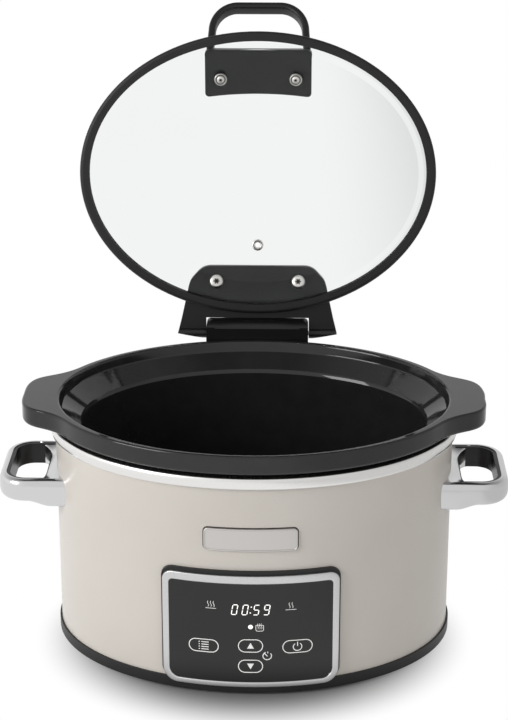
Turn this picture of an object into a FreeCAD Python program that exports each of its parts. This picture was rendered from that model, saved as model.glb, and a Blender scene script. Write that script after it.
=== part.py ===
import FreeCAD, Part
import math
import os
from types import SimpleNamespace

import Sketcher

# A countertop slow cooker with a hinged glass lid, drawn with its lid standing open.
# Frame: origin on the table under the middle of the housing, front towards -Y, +X right, +Z up, in mm.
# Most of the cooker is oval. An oval has a half width along X and a half depth along Y.

Vector = FreeCAD.Vector
doc = FreeCAD.newDocument("slow_cooker")

# Driving dimensions: lengths in millimetres, angles in degrees
dimensions = {
    # housing: the painted wrap
    "housing_half_width": 140.0,
    "housing_half_depth": 108.5,
    "housing_wall": 1.0,
    "housing_top": 152.0,
    # base tray, feet and the screws that tie the well to the tray
    "foot_height": 2.0,
    "foot_radius": 9.0,
    "foot_stem_radius": 3.0,
    "foot_recess": 1.0,
    "foot_fit": 0.3,
    "foot_x": 88.0,
    "foot_y": 62.0,
    "tray_overhang": 1.5,
    "tray_top": 9.6,
    "tray_floor": 3.0,
    "tray_lip_height": 6.0,
    "tray_lip_wall": 2.0,
    "tray_fit": 0.2,
    "tie_x": 70.0,
    "tie_y": 40.0,
    "standoff_radius": 5.0,
    "tie_screw_radius": 2.0,
    "tie_screw_length": 10.0,
    "screw_head_radius": 3.6,
    "screw_head_height": 2.0,
    # collar round the top of the housing
    "collar_height": 5.7,
    "collar_step": 1.2,
    "collar_flare": 3.4,
    "collar_wall": 1.0,
    "collar_lip": 4.0,
    # stoneware crock
    "rim_overhang_x": 3.5,
    "rim_overhang_y": 3.8,
    "rim_gap": 5.5,
    "rim_height": 13.8,
    "rim_round": 1.5,
    "rim_under_round": 2.5,
    "rim_tuck": 1.2,
    "rim_inner_round": 2.0,
    "ear_length": 18.0,
    "ear_half_width": 46.0,
    "ear_power": 4.0,
    "ear_blend": 8.0,
    "neck_inset_x": 13.5,
    "neck_inset_y": 10.0,
    "neck_drop": 4.6,
    "crock_draft": 15.5,
    "crock_bottom": 37.0,
    "crock_bottom_round": 8.0,
    "crock_wall": 5.5,
    "crock_floor": 8.0,
    "cavity_round": 14.0,
    "ledge_height": 10.9,
    "recess_inset_x": 8.0,
    "recess_inset_y": 5.5,
    "recess_depth": 7.1,
    "recess_draft": 1.5,
    "recess_round": 1.5,
    "ledge_round": 4.0,
    "crock_seat_gap": 0.3,
    # heating well and heater
    "well_clearance": 2.0,
    "well_wall": 1.0,
    "heater_bottom": 50.0,
    "heater_top": 105.0,
    "heater_thickness": 2.5,
    "heater_fit": 0.3,
    "strap_height": 8.0,
    "strap_thickness": 0.8,
    "strap_inset": 10.0,
    "sensor_radius": 4.0,
    "sensor_height": 2.5,
    "sensor_y": 45.0,
    "fuse_radius": 2.0,
    "fuse_length": 16.0,
    "lead_radius": 1.2,
    "lead_bend": 10.0,
    "lead_x": 12.0,
    # power board in the base
    "board_thickness": 1.6,
    "power_board_width": 96.0,
    "power_board_depth": 60.0,
    "power_board_y": 2.0,
    "power_board_z": 9.5,
    "board_boss_radius": 3.0,
    "board_screw_radius": 1.25,
    "board_screw_head_radius": 2.3,
    "board_screw_head_height": 1.6,
    "board_screw_length": 3.4,
    "board_screw_margin": 4.0,
    "transformer_width": 32.0,
    "transformer_depth": 26.0,
    "transformer_height": 20.0,
    "relay_width": 20.0,
    "relay_depth": 16.0,
    "relay_height": 16.0,
    "capacitor_radius": 5.0,
    "capacitor_height": 16.0,
    "ribbon_width": 20.0,
    "ribbon_thickness": 1.0,
    # control panel on the front
    "bezel_half_width": 59.9,
    "bezel_bottom": 7.4,
    "bezel_height": 83.6,
    "bezel_side": 4.5,
    "bezel_head": 5.8,
    "bezel_sill": 3.9,
    "bezel_corner": 7.0,
    "bezel_low_corner": 10.0,
    "bezel_thickness": 1.8,
    "window_corner": 3.0,
    "window_low_corner": 7.0,
    "surround_side": 0.7,
    "surround_head": 2.8,
    "surround_fit": 0.3,
    "surround_corner": 8.0,
    "panel_thickness": 2.2,
    "ledge_side": 9.9,
    "ledge_low": 3.5,
    "ledge_high": 4.2,
    "cutout_side": 1.9,
    "cutout_gap": 1.4,
    "cutout_head": 3.0,
    "fascia_thickness": 1.2,
    "key_height": 10.0,
    "key_corner": 4.9,
    "side_key_width": 20.5,
    "side_key_inset": 13.7,
    "side_key_rise": 14.2,
    "middle_key_width": 17.0,
    "down_key_z": 23.6,
    "key_pitch": 15.5,
    "key_clearance": 0.25,
    "key_proud": 0.15,
    "key_flange": 0.9,
    "key_flange_thickness": 0.8,
    "key_flange_gap": 0.3,
    "key_stem_radius": 1.5,
    "key_free_gap": 0.9,
    "board_gap": 0.1,
    "board_side": 1.5,
    "board_low": 2.0,
    "board_high": 3.0,
    "switch_size": 6.0,
    "switch_height": 4.3,
    "plunger_radius": 1.6,
    "plunger_height": 0.7,
    "display_width": 34.0,
    "display_height": 16.0,
    "display_z": 66.3,
    "display_gap": 0.4,
    # plain plate above the panel
    "badge_width": 63.0,
    "badge_height": 16.2,
    "badge_corner": 3.0,
    "badge_z": 116.5,
    "badge_thickness": 1.4,
    "badge_fit": 0.2,
    # side handles
    "handle_length": 39.3,
    "handle_half_width": 38.5,
    "handle_bottom": 110.0,
    "handle_height": 16.5,
    "handle_corner": 20.0,
    "handle_shell_wall": 5.2,
    "handle_liner_wall": 2.6,
    "handle_liner_inset": 0.6,
    "handle_root": 5.5,
    "handle_flare_drop": 3.4,
    "handle_flare_length": 9.0,
    "handle_round": 2.2,
    "handle_under_round": 3.0,
    "handle_screw_y": 20.0,
    "handle_screw_radius": 2.0,
    # cord gland low on the back
    "gland_z": 28.0,
    "gland_radius": 7.0,
    "gland_flange_radius": 9.5,
    "gland_flange": 3.0,
    "gland_bore_radius": 3.6,
    # lid, drawn closed and then swung open about the hinge
    "lid_gap_x": 3.1,
    "lid_gap_y": 1.8,
    "lid_seat": 1.8,
    "lid_centre_y": 0.6,
    "lid_open_angle": 99.0,
    "seal_width": 7.0,
    "seal_height": 7.0,
    "seal_round": 2.5,
    "glass_inset": 3.0,
    "glass_thickness": 4.0,
    "glass_flange": 6.0,
    "dome_rise": 13.0,
    "dome_depth": 36.0,
    "hinge_back": 9.9,
    "hinge_lift": 1.7,
    "pin_radius": 1.6,
    "pin_half_length": 54.0,
    "pin_clearance": 0.05,
    "post_half_width": 38.5,
    "post_radius": 11.5,
    "post_bottom": 98.0,
    "post_corner": 6.0,
    "post_rim_gap": 1.0,
    "post_screw_x": 24.0,
    "post_screw_z": 125.0,
    "post_screw_radius": 2.0,
    "post_screw_length": 10.0,
    "bracket_gap": 0.45,
    "bracket_side_gap": 0.4,
    "bracket_rim_gap": 0.7,
    "bracket_thickness": 7.1,
    "bracket_front_inset": 34.0,
    "bracket_front_half_width": 41.0,
    "bracket_shoulder_inset": 23.0,
    "bracket_shoulder_half_width": 51.0,
    "bracket_corner": 13.0,
    "bracket_half_width": 57.2,
    "arm_half_width": 60.2,
    "arm_tip_width": 3.1,
    "arm_radius": 3.6,
    "bracket_screw_x": 30.8,
    "bracket_screw_inset": 23.3,
    "bracket_head_radius": 5.2,
    "bracket_head_height": 2.4,
    "lid_screw_radius": 2.0,
    "lid_screw_grip": 3.6,
    "lid_screw_clearance": 0.6,
    "lid_bedding": 0.15,
    "grip_screw_x": 27.8,
    "grip_screw_inset": 35.9,
    "washer_radius": 4.75,
    "washer_thickness": 0.8,
    "vent_inset": 50.2,
    "vent_radius": 3.4,
    "vent_flange_radius": 4.3,
    "vent_flange": 0.8,
    "vent_bore_radius": 2.0,
    "grip_base_width": 79.0,
    "grip_base_depth": 35.0,
    "grip_base_inset": 31.7,
    "grip_base_corner": 3.5,
    "grip_base_scoop": 2.4,
    "grip_base_rise": 14.3,
    "grip_base_round": 2.0,
    "grip_lean": 40.0,
    "grip_root_inset": 23.0,
    "grip_root_rise": 10.3,
    "grip_width": 75.5,
    "grip_length": 52.0,
    "grip_bar": 5.5,
    "grip_depth": 10.0,
    "grip_corner": 16.0,
    "grip_edge_round": 1.5,
}

sheet = doc.addObject("Spreadsheet::Sheet", "sizes")
for row, (alias, number) in enumerate(dimensions.items(), start=1):
    sheet.set(f"A{row}", alias)
    sheet.set(f"B{row}", str(number))
    sheet.setAlias(f"B{row}", alias)
doc.recompute()


class Size:
    """A length that carries both its number and the spreadsheet expression that it comes from."""

    def __init__(self, text, value):
        self.text = text
        self.value = value

    def __add__(self, other):
        other = as_size(other)
        return Size(f"({self.text} + {other.text})", self.value + other.value)

    def __sub__(self, other):
        other = as_size(other)
        return Size(f"({self.text} - {other.text})", self.value - other.value)

    def __mul__(self, other):
        other = as_size(other)
        return Size(f"({self.text} * {other.text})", self.value * other.value)

    def __truediv__(self, other):
        other = as_size(other)
        return Size(f"({self.text} / {other.text})", self.value / other.value)

    def __neg__(self):
        return Size(f"(0 - {self.text})", -self.value)

    def __radd__(self, other):
        return as_size(other) + self

    def __rsub__(self, other):
        return as_size(other) - self

    def __rmul__(self, other):
        return as_size(other) * self


def as_size(number):
    if isinstance(number, Size):
        return number
    return Size(f"({number})", float(number))


def root(size):
    return Size(f"sqrt({size.text})", math.sqrt(size.value))


def sine(angle):
    return Size(f"sin({angle.text} * 1 deg)", math.sin(math.radians(angle.value)))


def cosine(angle):
    return Size(f"cos({angle.text} * 1 deg)", math.cos(math.radians(angle.value)))


d = SimpleNamespace(**{alias: Size(f"sizes.{alias}", sheet.get(alias)) for alias in dimensions})
zero = as_size(0)
nodes = {}


def bind(thing, **properties):
    """Bind properties to sizes; a double underscore in a name stands for the dot of a sub-property."""
    for name, size in properties.items():
        thing.setExpression(name.replace("__", "."), as_size(size).text)


def keep(label, thing):
    """Name a finished piece: its label is the name of its file."""
    thing.Label = label
    nodes[label] = thing
    return thing


# Ovals, prisms and booleans

def oval(half_width, half_depth, z, centre_y=zero):
    curve = doc.addObject("Part::Ellipse", "oval")
    bind(curve, MajorRadius=half_width, MinorRadius=half_depth)
    bind(curve, Placement__Base__y=centre_y, Placement__Base__z=z)
    return curve


def extrude(base, direction, length):
    solid = doc.addObject("Part::Extrusion", "extrusion")
    solid.Base = base
    solid.DirMode = "Custom"
    solid.Dir = direction
    solid.Solid = True
    bind(solid, LengthFwd=length)
    return solid


def oval_prism(half_width, half_depth, bottom, top, centre_y=zero):
    return extrude(oval(half_width, half_depth, bottom, centre_y), Vector(0, 0, 1), top - bottom)


def oval_loft(*sections):
    """A ruled solid through ovals given as (half width, half depth, height)."""
    solid = doc.addObject("Part::Loft", "loft")
    solid.Sections = [oval(*section) for section in sections]
    solid.Solid = True
    solid.Ruled = True
    return solid


def box(x, y, z, width, depth, height):
    solid = doc.addObject("Part::Box", "box")
    bind(solid, Length=width, Width=depth, Height=height)
    bind(solid, Placement__Base__x=x, Placement__Base__y=y, Placement__Base__z=z)
    return solid


turns = {"X": FreeCAD.Rotation(Vector(0, 1, 0), 90), "Y": FreeCAD.Rotation(Vector(1, 0, 0), -90),
         "Z": FreeCAD.Rotation()}


def rod(axis, x, y, z, radius, length):
    """A cylinder from (x, y, z) along +X, +Y or +Z."""
    solid = doc.addObject("Part::Cylinder", "rod")
    solid.Placement = FreeCAD.Placement(Vector(), turns[axis])
    bind(solid, Radius=radius, Height=length)
    bind(solid, Placement__Base__x=x, Placement__Base__y=y, Placement__Base__z=z)
    return solid


def cut(base, *tools):
    for tool in tools:
        piece = doc.addObject("Part::Cut", "cut")
        piece.Base = base
        piece.Tool = tool
        base = piece
    return base


def fuse(*shapes):
    piece = doc.addObject("Part::MultiFuse", "fuse")
    piece.Shapes = list(shapes)
    return piece


def common(base, tool):
    piece = doc.addObject("Part::Common", "common")
    piece.Base = base
    piece.Tool = tool
    return piece


def round_edges(base, radius, wanted):
    """Fillet those edges of a solid for which wanted(edge) is true."""
    doc.recompute()
    piece = doc.addObject("Part::Fillet", "rounded")
    piece.Base = base
    edges = enumerate(base.Shape.Edges, start=1)
    piece.Edges = [(number, radius.value, radius.value) for number, edge in edges if wanted(edge)]
    return piece


def lies_at(edge, height):
    """True where an edge lies in the level plane at this height."""
    return abs(edge.BoundBox.ZMin - height.value) < 1e-4 and abs(edge.BoundBox.ZMax - height.value) < 1e-4


def mirrored(source, normal):
    piece = doc.addObject("Part::Mirroring", "mirrored")
    piece.Source = source
    piece.Normal = normal
    return piece


def group(*shapes):
    piece = doc.addObject("Part::Compound", "group")
    piece.Links = list(shapes)
    return piece


left_right = Vector(1, 0, 0)
front_back = Vector(0, 1, 0)


def pair(source):
    """A piece and its mirror image on the other side, as two solids in one node."""
    return group(source, mirrored(source, left_right))


def four(source):
    """A piece repeated at the four corners, as four solids in one node."""
    other = mirrored(source, left_right)
    return group(source, other, mirrored(source, front_back), mirrored(other, front_back))


# Sketches: every corner is tied to the sheet by its two distances from the sketch's origin

def place(sketch, geometry, end, across, up):
    for kind, size in (("DistanceX", as_size(across)), ("DistanceY", as_size(up))):
        index = sketch.addConstraint(Sketcher.Constraint(kind, -1, 1, geometry, end, size.value))
        sketch.setExpression(f"Constraints[{index}]", size.text)


def point(across, up):
    return Vector(as_size(across).value, as_size(up).value, 0)


def draw_polygon(sketch, corners):
    count = len(corners)
    for i in range(count):
        sketch.addGeometry(Part.LineSegment(point(*corners[i]), point(*corners[(i + 1) % count])))
    for i in range(count):
        sketch.addConstraint(Sketcher.Constraint("Coincident", i, 2, (i + 1) % count, 1))
        place(sketch, i, 1, *corners[i])


def draw_rounded(sketch, left, right, bottom, top, radius, low_radius=None):
    """A rectangle with round corners, the lower two with a radius of their own where one is given."""
    left, right, bottom, top = (as_size(side) for side in (left, right, bottom, top))
    low = low_radius or radius
    corners = [(right - low, bottom + low, -90, low), (right - radius, top - radius, 0, radius),
               (left + radius, top - radius, 90, radius), (left + low, bottom + low, 180, low)]
    sides = [((left + low, bottom), (right - low, bottom)),
             ((right, bottom + low), (right, top - radius)),
             ((right - radius, top), (left + radius, top)),
             ((left, top - radius), (left, bottom + low))]
    for (start, end), (across, up, angle, bend) in zip(sides, corners):
        side = sketch.addGeometry(Part.LineSegment(point(*start), point(*end)))
        circle = Part.Circle(point(across, up), Vector(0, 0, 1), bend.value)
        first = math.radians(angle)
        arc = sketch.addGeometry(Part.ArcOfCircle(circle, first, first + math.pi / 2))
        sketch.addConstraint(Sketcher.Constraint("Coincident", side, 2, arc, 1))
        place(sketch, side, 1, *start)
        place(sketch, side, 2, *end)
    count = sketch.GeometryCount
    for arc, corner in zip(range(1, count, 2), corners):
        bend = corner[-1]
        sketch.addConstraint(Sketcher.Constraint("Coincident", arc, 2, (arc + 1) % count, 1))
        index = sketch.addConstraint(Sketcher.Constraint("Radius", arc, bend.value))
        sketch.setExpression(f"Constraints[{index}]", bend.text)


def plan_prism(left, right, front, back, radius, bottom, top):
    """A rounded rectangle in plan, raised from bottom to top."""
    sketch = doc.addObject("Sketcher::SketchObject", "plan")
    draw_rounded(sketch, left, right, front, back, radius)
    bind(sketch, Placement__Base__z=bottom)
    return extrude(sketch, Vector(0, 0, 1), top - bottom)


def face_prism(left, right, bottom, top, radius, front, back, low_radius=None):
    """A rounded rectangle seen from the front, carried from y = front to y = back."""
    sketch = doc.addObject("Sketcher::SketchObject", "face")
    draw_rounded(sketch, left, right, bottom, top, radius, low_radius)
    sketch.Placement = FreeCAD.Placement(Vector(), FreeCAD.Rotation(Vector(1, 0, 0), 90))
    bind(sketch, Placement__Base__y=front)
    return extrude(sketch, Vector(0, 1, 0), back - front)


def body_sketch(body, plane, offset=zero):
    sketch = body.newObject("Sketcher::SketchObject", "sketch")
    support = [feature for feature in body.Origin.OriginFeatures if feature.Role == plane][0]
    sketch.AttachmentSupport = [(support, "")]
    sketch.MapMode = "FlatFace"
    bind(sketch, AttachmentOffset__Base__z=offset)
    return sketch


def turned_body(name, profile):
    """A body turned about its own Z axis from a half section given as (radius, height) corners."""
    body = doc.addObject("PartDesign::Body", name)
    sketch = body_sketch(body, "XZ_Plane")
    draw_polygon(sketch, profile)
    turned = body.newObject("PartDesign::Revolution", "turned")
    turned.Profile = sketch
    turned.ReferenceAxis = (sketch, ["V_Axis"])
    turned.Angle = 360
    return body


def padded_body(name, plane, corners, start, length):
    """A body padded from a polygon drawn on a plane of its origin."""
    body = doc.addObject("PartDesign::Body", name)
    sketch = body_sketch(body, plane, start)
    draw_polygon(sketch, corners)
    pad = body.newObject("PartDesign::Pad", "pad")
    pad.Profile = sketch
    bind(pad, Length=length)
    return body


def screw(name, head_radius, head_height, shank_radius, length):
    """A screw along its own Z axis: the head below zero, the shank above."""
    return turned_body(name, [(zero, -head_height), (head_radius, -head_height), (head_radius, zero),
                              (shank_radius, zero), (shank_radius, length), (zero, length)])


def stand(thing, axis, x, y, z):
    """Put a body with its own Z axis along +X, +Y, +Z or -Z at a point."""
    turn = FreeCAD.Rotation(Vector(1, 0, 0), 180) if axis == "-Z" else turns[axis]
    thing.Placement = FreeCAD.Placement(Vector(), turn)
    bind(thing, Placement__Base__x=x, Placement__Base__y=y, Placement__Base__z=z)
    return thing


def oval_reach(half_width, half_depth, x):
    """How far an oval reaches along Y at a given x."""
    return half_depth * root(1 - x * x / (half_width * half_width))


# Heights and places that follow from the driving dimensions
tray_floor_top = d.foot_height + d.tray_floor
tray_lip_top = d.tray_top + d.tray_lip_height
collar_top = d.housing_top + d.collar_height
rim_bottom = collar_top + d.collar_wall + d.rim_gap
rim_top = rim_bottom + d.rim_height
rim_half_width = d.housing_half_width + d.rim_overhang_x
rim_half_depth = d.housing_half_depth + d.rim_overhang_y
ear_reach = rim_half_width + d.ear_length
neck_half_width = d.housing_half_width - d.neck_inset_x
neck_half_depth = d.housing_half_depth - d.neck_inset_y
neck_height = rim_bottom - d.neck_drop
recess_half_width = rim_half_width - d.recess_inset_x
recess_half_depth = rim_half_depth - d.recess_inset_y
recess_floor = rim_top - d.recess_depth
cavity_top = recess_floor - d.ledge_height
inner_half_width = d.housing_half_width - d.housing_wall
inner_half_depth = d.housing_half_depth - d.housing_wall
foot_half_width = neck_half_width - d.crock_draft
foot_half_depth = neck_half_depth - d.crock_draft
well_floor = d.crock_bottom - d.crock_seat_gap
well_bottom = well_floor - d.well_wall
handle_reach = d.housing_half_width + d.handle_length
handle_top = d.handle_bottom + d.handle_height
handle_screw_z = d.handle_bottom + d.handle_height / 2
bezel_top = d.bezel_bottom + d.bezel_height
window_half_width = d.bezel_half_width - d.bezel_side
window_bottom = d.bezel_bottom + d.bezel_sill
window_top = bezel_top - d.bezel_head
opening_half_width = window_half_width - d.ledge_side
opening_bottom = window_bottom + d.ledge_low
opening_top = window_top - d.ledge_high
cutout_half_width = window_half_width - d.cutout_side
cutout_bottom = tray_lip_top + d.cutout_gap
cutout_top = opening_top + d.cutout_head
lid_half_width = recess_half_width - d.lid_gap_x
lid_half_depth = recess_half_depth - d.lid_gap_y
lid_height = recess_floor + d.lid_seat
hinge_y = rim_half_depth + d.hinge_back
hinge_z = rim_top + d.hinge_lift
far = d.housing_half_width + d.housing_half_depth


def well_half(foot, z):
    """The outer half width or half depth of the well at a height: it tapers as the crock does."""
    rise = (z - well_bottom) / (collar_top - well_bottom)
    return foot + d.well_clearance + d.well_wall + d.crock_draft * rise


# Base tray, feet and tie screws

def build_base():
    lip_half_width = inner_half_width - d.tray_fit
    lip_half_depth = inner_half_depth - d.tray_fit
    trim = oval_prism(d.housing_half_width + d.tray_overhang, d.housing_half_depth + d.tray_overhang,
                      d.foot_height, d.tray_top)
    lip = oval_prism(lip_half_width, lip_half_depth, d.tray_top, tray_lip_top)
    hollow = oval_prism(lip_half_width - d.tray_lip_wall, lip_half_depth - d.tray_lip_wall,
                        tray_floor_top, tray_lip_top)
    boss_x = d.power_board_width / 2 - d.board_screw_margin
    boss_y = d.power_board_depth / 2 - d.board_screw_margin
    bosses = []
    boss_bores = []
    for side in (1, -1):
        for end in (1, -1):
            x = side * boss_x
            y = d.power_board_y + end * boss_y
            bosses.append(rod("Z", x, y, d.foot_height, d.board_boss_radius, d.power_board_z - d.foot_height))
            boss_bores.append(rod("Z", x, y, d.power_board_z - d.board_screw_length, d.board_screw_radius,
                                  d.board_screw_length))
    stem_hole = fuse(rod("Z", d.foot_x, d.foot_y, d.foot_height, d.foot_stem_radius, d.tray_floor),
                     rod("Z", d.foot_x, d.foot_y, d.foot_height, d.foot_radius + d.foot_fit, d.foot_recess))
    screw_hole = fuse(rod("Z", d.tie_x, d.tie_y, d.foot_height, d.tie_screw_radius, d.tray_floor),
                      rod("Z", d.tie_x, d.tie_y, d.foot_height, d.screw_head_radius, d.screw_head_height))
    tray = cut(fuse(trim, lip), hollow)
    keep("base_tray", cut(fuse(tray, *bosses), *boss_bores, four(stem_hole), four(screw_hole)))

    pad_top = d.foot_height + d.foot_recess
    foot = turned_body("foot", [(zero, zero), (d.foot_radius, zero), (d.foot_radius, pad_top),
                                (d.foot_stem_radius, pad_top), (d.foot_stem_radius, tray_floor_top),
                                (zero, tray_floor_top)])
    keep("rubber_feet", four(stand(foot, "Z", d.foot_x, d.foot_y, zero)))

    head_seat = d.foot_height + d.screw_head_height
    tie = screw("tie_screw", d.screw_head_radius, d.screw_head_height, d.tie_screw_radius, d.tie_screw_length)
    keep("base_screws", four(stand(tie, "Z", d.tie_x, d.tie_y, head_seat)))
    bore_top = head_seat + d.tie_screw_length
    profile = [(d.tie_screw_radius, tray_floor_top), (d.standoff_radius, tray_floor_top),
               (d.standoff_radius, well_bottom), (zero, well_bottom), (zero, bore_top),
               (d.tie_screw_radius, bore_top)]
    standoff = turned_body("standoff", profile)
    keep("well_standoffs", four(stand(standoff, "Z", d.tie_x, d.tie_y, zero)))


# Housing, collar, heating well and heater

def build_housing():
    wrap = cut(oval_prism(d.housing_half_width, d.housing_half_depth, d.tray_top, d.housing_top),
               oval_prism(inner_half_width, inner_half_depth, d.tray_top, d.housing_top))
    cutout = face_prism(-cutout_half_width, cutout_half_width, cutout_bottom, cutout_top,
                        d.window_corner, -far, zero)
    handle_hole = rod("X", neck_half_width, d.handle_screw_y, handle_screw_z, d.handle_screw_radius, far)
    post_hole = rod("Y", d.post_screw_x, zero, d.post_screw_z, d.post_screw_radius, far)
    gland_hole = rod("Y", zero, zero, d.gland_z, d.gland_radius, far)
    keep("housing_shell", cut(wrap, cutout, four(handle_hole), pair(post_hole), gland_hole))

    # The collar stands proud of the housing and bulges: it has most of its flare by half its height
    def around(out, z):
        return (d.housing_half_width + out, d.housing_half_depth + out, z)

    middle = d.housing_top + d.collar_height / 2
    bow = (d.collar_step + 3 * d.collar_flare) / 4
    outer = oval_loft(around(d.collar_step, d.housing_top), around(bow, middle),
                      around(d.collar_flare, collar_top), around(d.collar_flare, collar_top + d.collar_wall))
    inner = oval_loft(around(-d.housing_wall, d.housing_top), around(bow - d.housing_wall, middle),
                      around(d.collar_flare - d.collar_wall, collar_top))
    mouth = oval_prism(d.housing_half_width - d.collar_lip, d.housing_half_depth - d.collar_lip,
                       collar_top, collar_top + d.collar_wall)
    keep("top_collar", cut(outer, inner, mouth))

    mouth_half_width = neck_half_width + d.well_clearance
    mouth_half_depth = neck_half_depth + d.well_clearance
    pan_half_width = well_half(foot_half_width, well_bottom)
    pan_half_depth = well_half(foot_half_depth, well_bottom)
    pan = oval_loft((pan_half_width, pan_half_depth, well_bottom),
                    (mouth_half_width + d.well_wall, mouth_half_depth + d.well_wall, collar_top))
    flange = oval_prism(inner_half_width - d.tray_fit, inner_half_depth - d.tray_fit,
                        collar_top - d.well_wall, collar_top)
    inside = oval_loft((foot_half_width + d.well_clearance, foot_half_depth + d.well_clearance, well_floor),
                       (mouth_half_width, mouth_half_depth, collar_top))
    keep("heating_well", cut(fuse(pan, flange), inside))


def sleeve(bottom, top, start, thickness):
    """A band round the well: it follows the well's taper, start away from it and this thick."""
    def section(z, out):
        return (well_half(foot_half_width, z) + out, well_half(foot_half_depth, z) + out, z)
    return cut(oval_loft(section(bottom, start + thickness), section(top, start + thickness)),
               oval_loft(section(bottom, start), section(top, start)))


def build_heater():
    keep("heater_band", sleeve(d.heater_bottom, d.heater_top, d.heater_fit, d.heater_thickness))
    low = d.heater_bottom + d.strap_inset
    high = d.heater_top - d.strap_inset
    start = d.heater_fit + d.heater_thickness + d.heater_fit
    keep("heater_straps", group(sleeve(low, low + d.strap_height, start, d.strap_thickness),
                                sleeve(high - d.strap_height, high, start, d.strap_thickness)))
    keep("temperature_sensor", rod("Z", zero, -d.sensor_y, well_bottom - d.sensor_height,
                                   d.sensor_radius, d.sensor_height))
    keep("thermal_fuse", rod("X", -d.fuse_length / 2, d.sensor_y, well_bottom - d.fuse_radius,
                             d.fuse_radius, d.fuse_length))

    # Each lead drops from the heater band and turns in to the power board
    lead_y = well_half(foot_half_depth, d.heater_bottom) + d.heater_fit + d.heater_thickness / 2
    lead_z = d.power_board_z + d.board_thickness + d.lead_radius
    lead_end = d.power_board_y + d.power_board_depth / 2 - d.board_screw_margin
    lead = doc.addObject("PartDesign::Body", "lead")
    path = body_sketch(lead, "YZ_Plane", d.lead_x)
    centre = (lead_y - d.lead_bend, lead_z + d.lead_bend)
    path.addGeometry(Part.LineSegment(point(lead_y, d.heater_bottom), point(lead_y, centre[1])))
    bend = Part.Circle(point(*centre), Vector(0, 0, 1), d.lead_bend.value)
    path.addGeometry(Part.ArcOfCircle(bend, 1.5 * math.pi, 2 * math.pi))
    path.addGeometry(Part.LineSegment(point(centre[0], lead_z), point(lead_end, lead_z)))
    path.addConstraint(Sketcher.Constraint("Coincident", 0, 2, 1, 2))
    path.addConstraint(Sketcher.Constraint("Coincident", 1, 1, 2, 1))
    place(path, 0, 1, lead_y, d.heater_bottom)
    place(path, 0, 2, lead_y, centre[1])
    place(path, 2, 1, centre[0], lead_z)
    place(path, 2, 2, lead_end, lead_z)
    index = path.addConstraint(Sketcher.Constraint("Radius", 1, d.lead_bend.value))
    path.setExpression(f"Constraints[{index}]", d.lead_bend.text)
    ring = body_sketch(lead, "XY_Plane", d.heater_bottom)
    ring.addGeometry(Part.Circle(point(d.lead_x, lead_y), Vector(0, 0, 1), d.lead_radius.value))
    place(ring, 0, 3, d.lead_x, lead_y)
    index = ring.addConstraint(Sketcher.Constraint("Radius", 0, d.lead_radius.value))
    ring.setExpression(f"Constraints[{index}]", d.lead_radius.text)
    pipe = lead.newObject("PartDesign::AdditivePipe", "pipe")
    pipe.Profile = ring
    pipe.Spine = path
    keep("heater_leads", pair(lead))


# Power board in the base

def build_power_board():
    top = d.power_board_z + d.board_thickness
    front = d.power_board_y - d.power_board_depth / 2
    half = d.power_board_width / 2
    hole_x = half - d.board_screw_margin
    hole_y = d.power_board_depth / 2 - d.board_screw_margin
    board = box(-half, front, d.power_board_z, d.power_board_width, d.power_board_depth, d.board_thickness)
    screws = []
    for side in (1, -1):
        for end in (1, -1):
            x = side * hole_x
            y = d.power_board_y + end * hole_y
            board = cut(board, rod("Z", x, y, d.power_board_z, d.board_screw_radius, d.board_thickness))
            one = screw("board_screw", d.board_screw_head_radius, d.board_screw_head_height,
                        d.board_screw_radius, d.board_thickness + d.board_screw_length)
            screws.append(stand(one, "-Z", x, y, top))
    keep("power_board", board)
    keep("power_board_screws", group(*screws))
    keep("transformer", box(-half + 2 * d.board_screw_margin, d.power_board_y - d.transformer_depth / 2, top,
                            d.transformer_width, d.transformer_depth, d.transformer_height))
    relay_x = half - 2 * d.board_screw_margin - d.relay_width
    keep("relay", box(relay_x, d.power_board_y - d.relay_depth, top,
                      d.relay_width, d.relay_depth, d.relay_height))
    keep("capacitor", rod("Z", relay_x + d.relay_width / 2, d.power_board_y + 2 * d.capacitor_radius, top,
                          d.capacitor_radius, d.capacitor_height))


# Control panel: curved plates that follow the housing's front

def curved(outline, near, away):
    """The part of a prism between two ovals that lie near and away from the housing's face."""
    outer = oval_prism(d.housing_half_width + away, d.housing_half_depth + away, zero, rim_top)
    inner = oval_prism(d.housing_half_width + near, d.housing_half_depth + near, zero, rim_top)
    return common(outline, cut(outer, inner))


def front_plate(left, right, bottom, top, radius, low_radius=None):
    return face_prism(left, right, bottom, top, radius, -far, zero, low_radius)


side_key_x = opening_half_width - d.side_key_inset
side_key_z = d.down_key_z + d.side_key_rise
key_places = {
    "menu_key": (-side_key_x, side_key_z, d.side_key_width),
    "up_key": (zero, d.down_key_z + d.key_pitch, d.middle_key_width),
    "down_key": (zero, d.down_key_z, d.middle_key_width),
    "power_key": (side_key_x, side_key_z, d.side_key_width),
}
control_board_half_width = cutout_half_width - d.board_side
control_board_bottom = cutout_bottom + d.board_low
control_board_top = cutout_top - d.board_high
board_front = d.board_gap - oval_reach(inner_half_width, inner_half_depth, control_board_half_width)
board_back = board_front + d.board_thickness


def key_outline(x, z, width, grow):
    return front_plate(x - width / 2 - grow, x + width / 2 + grow, z - d.key_height / 2 - grow,
                       z + d.key_height / 2 + grow, d.key_corner + grow)


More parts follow.
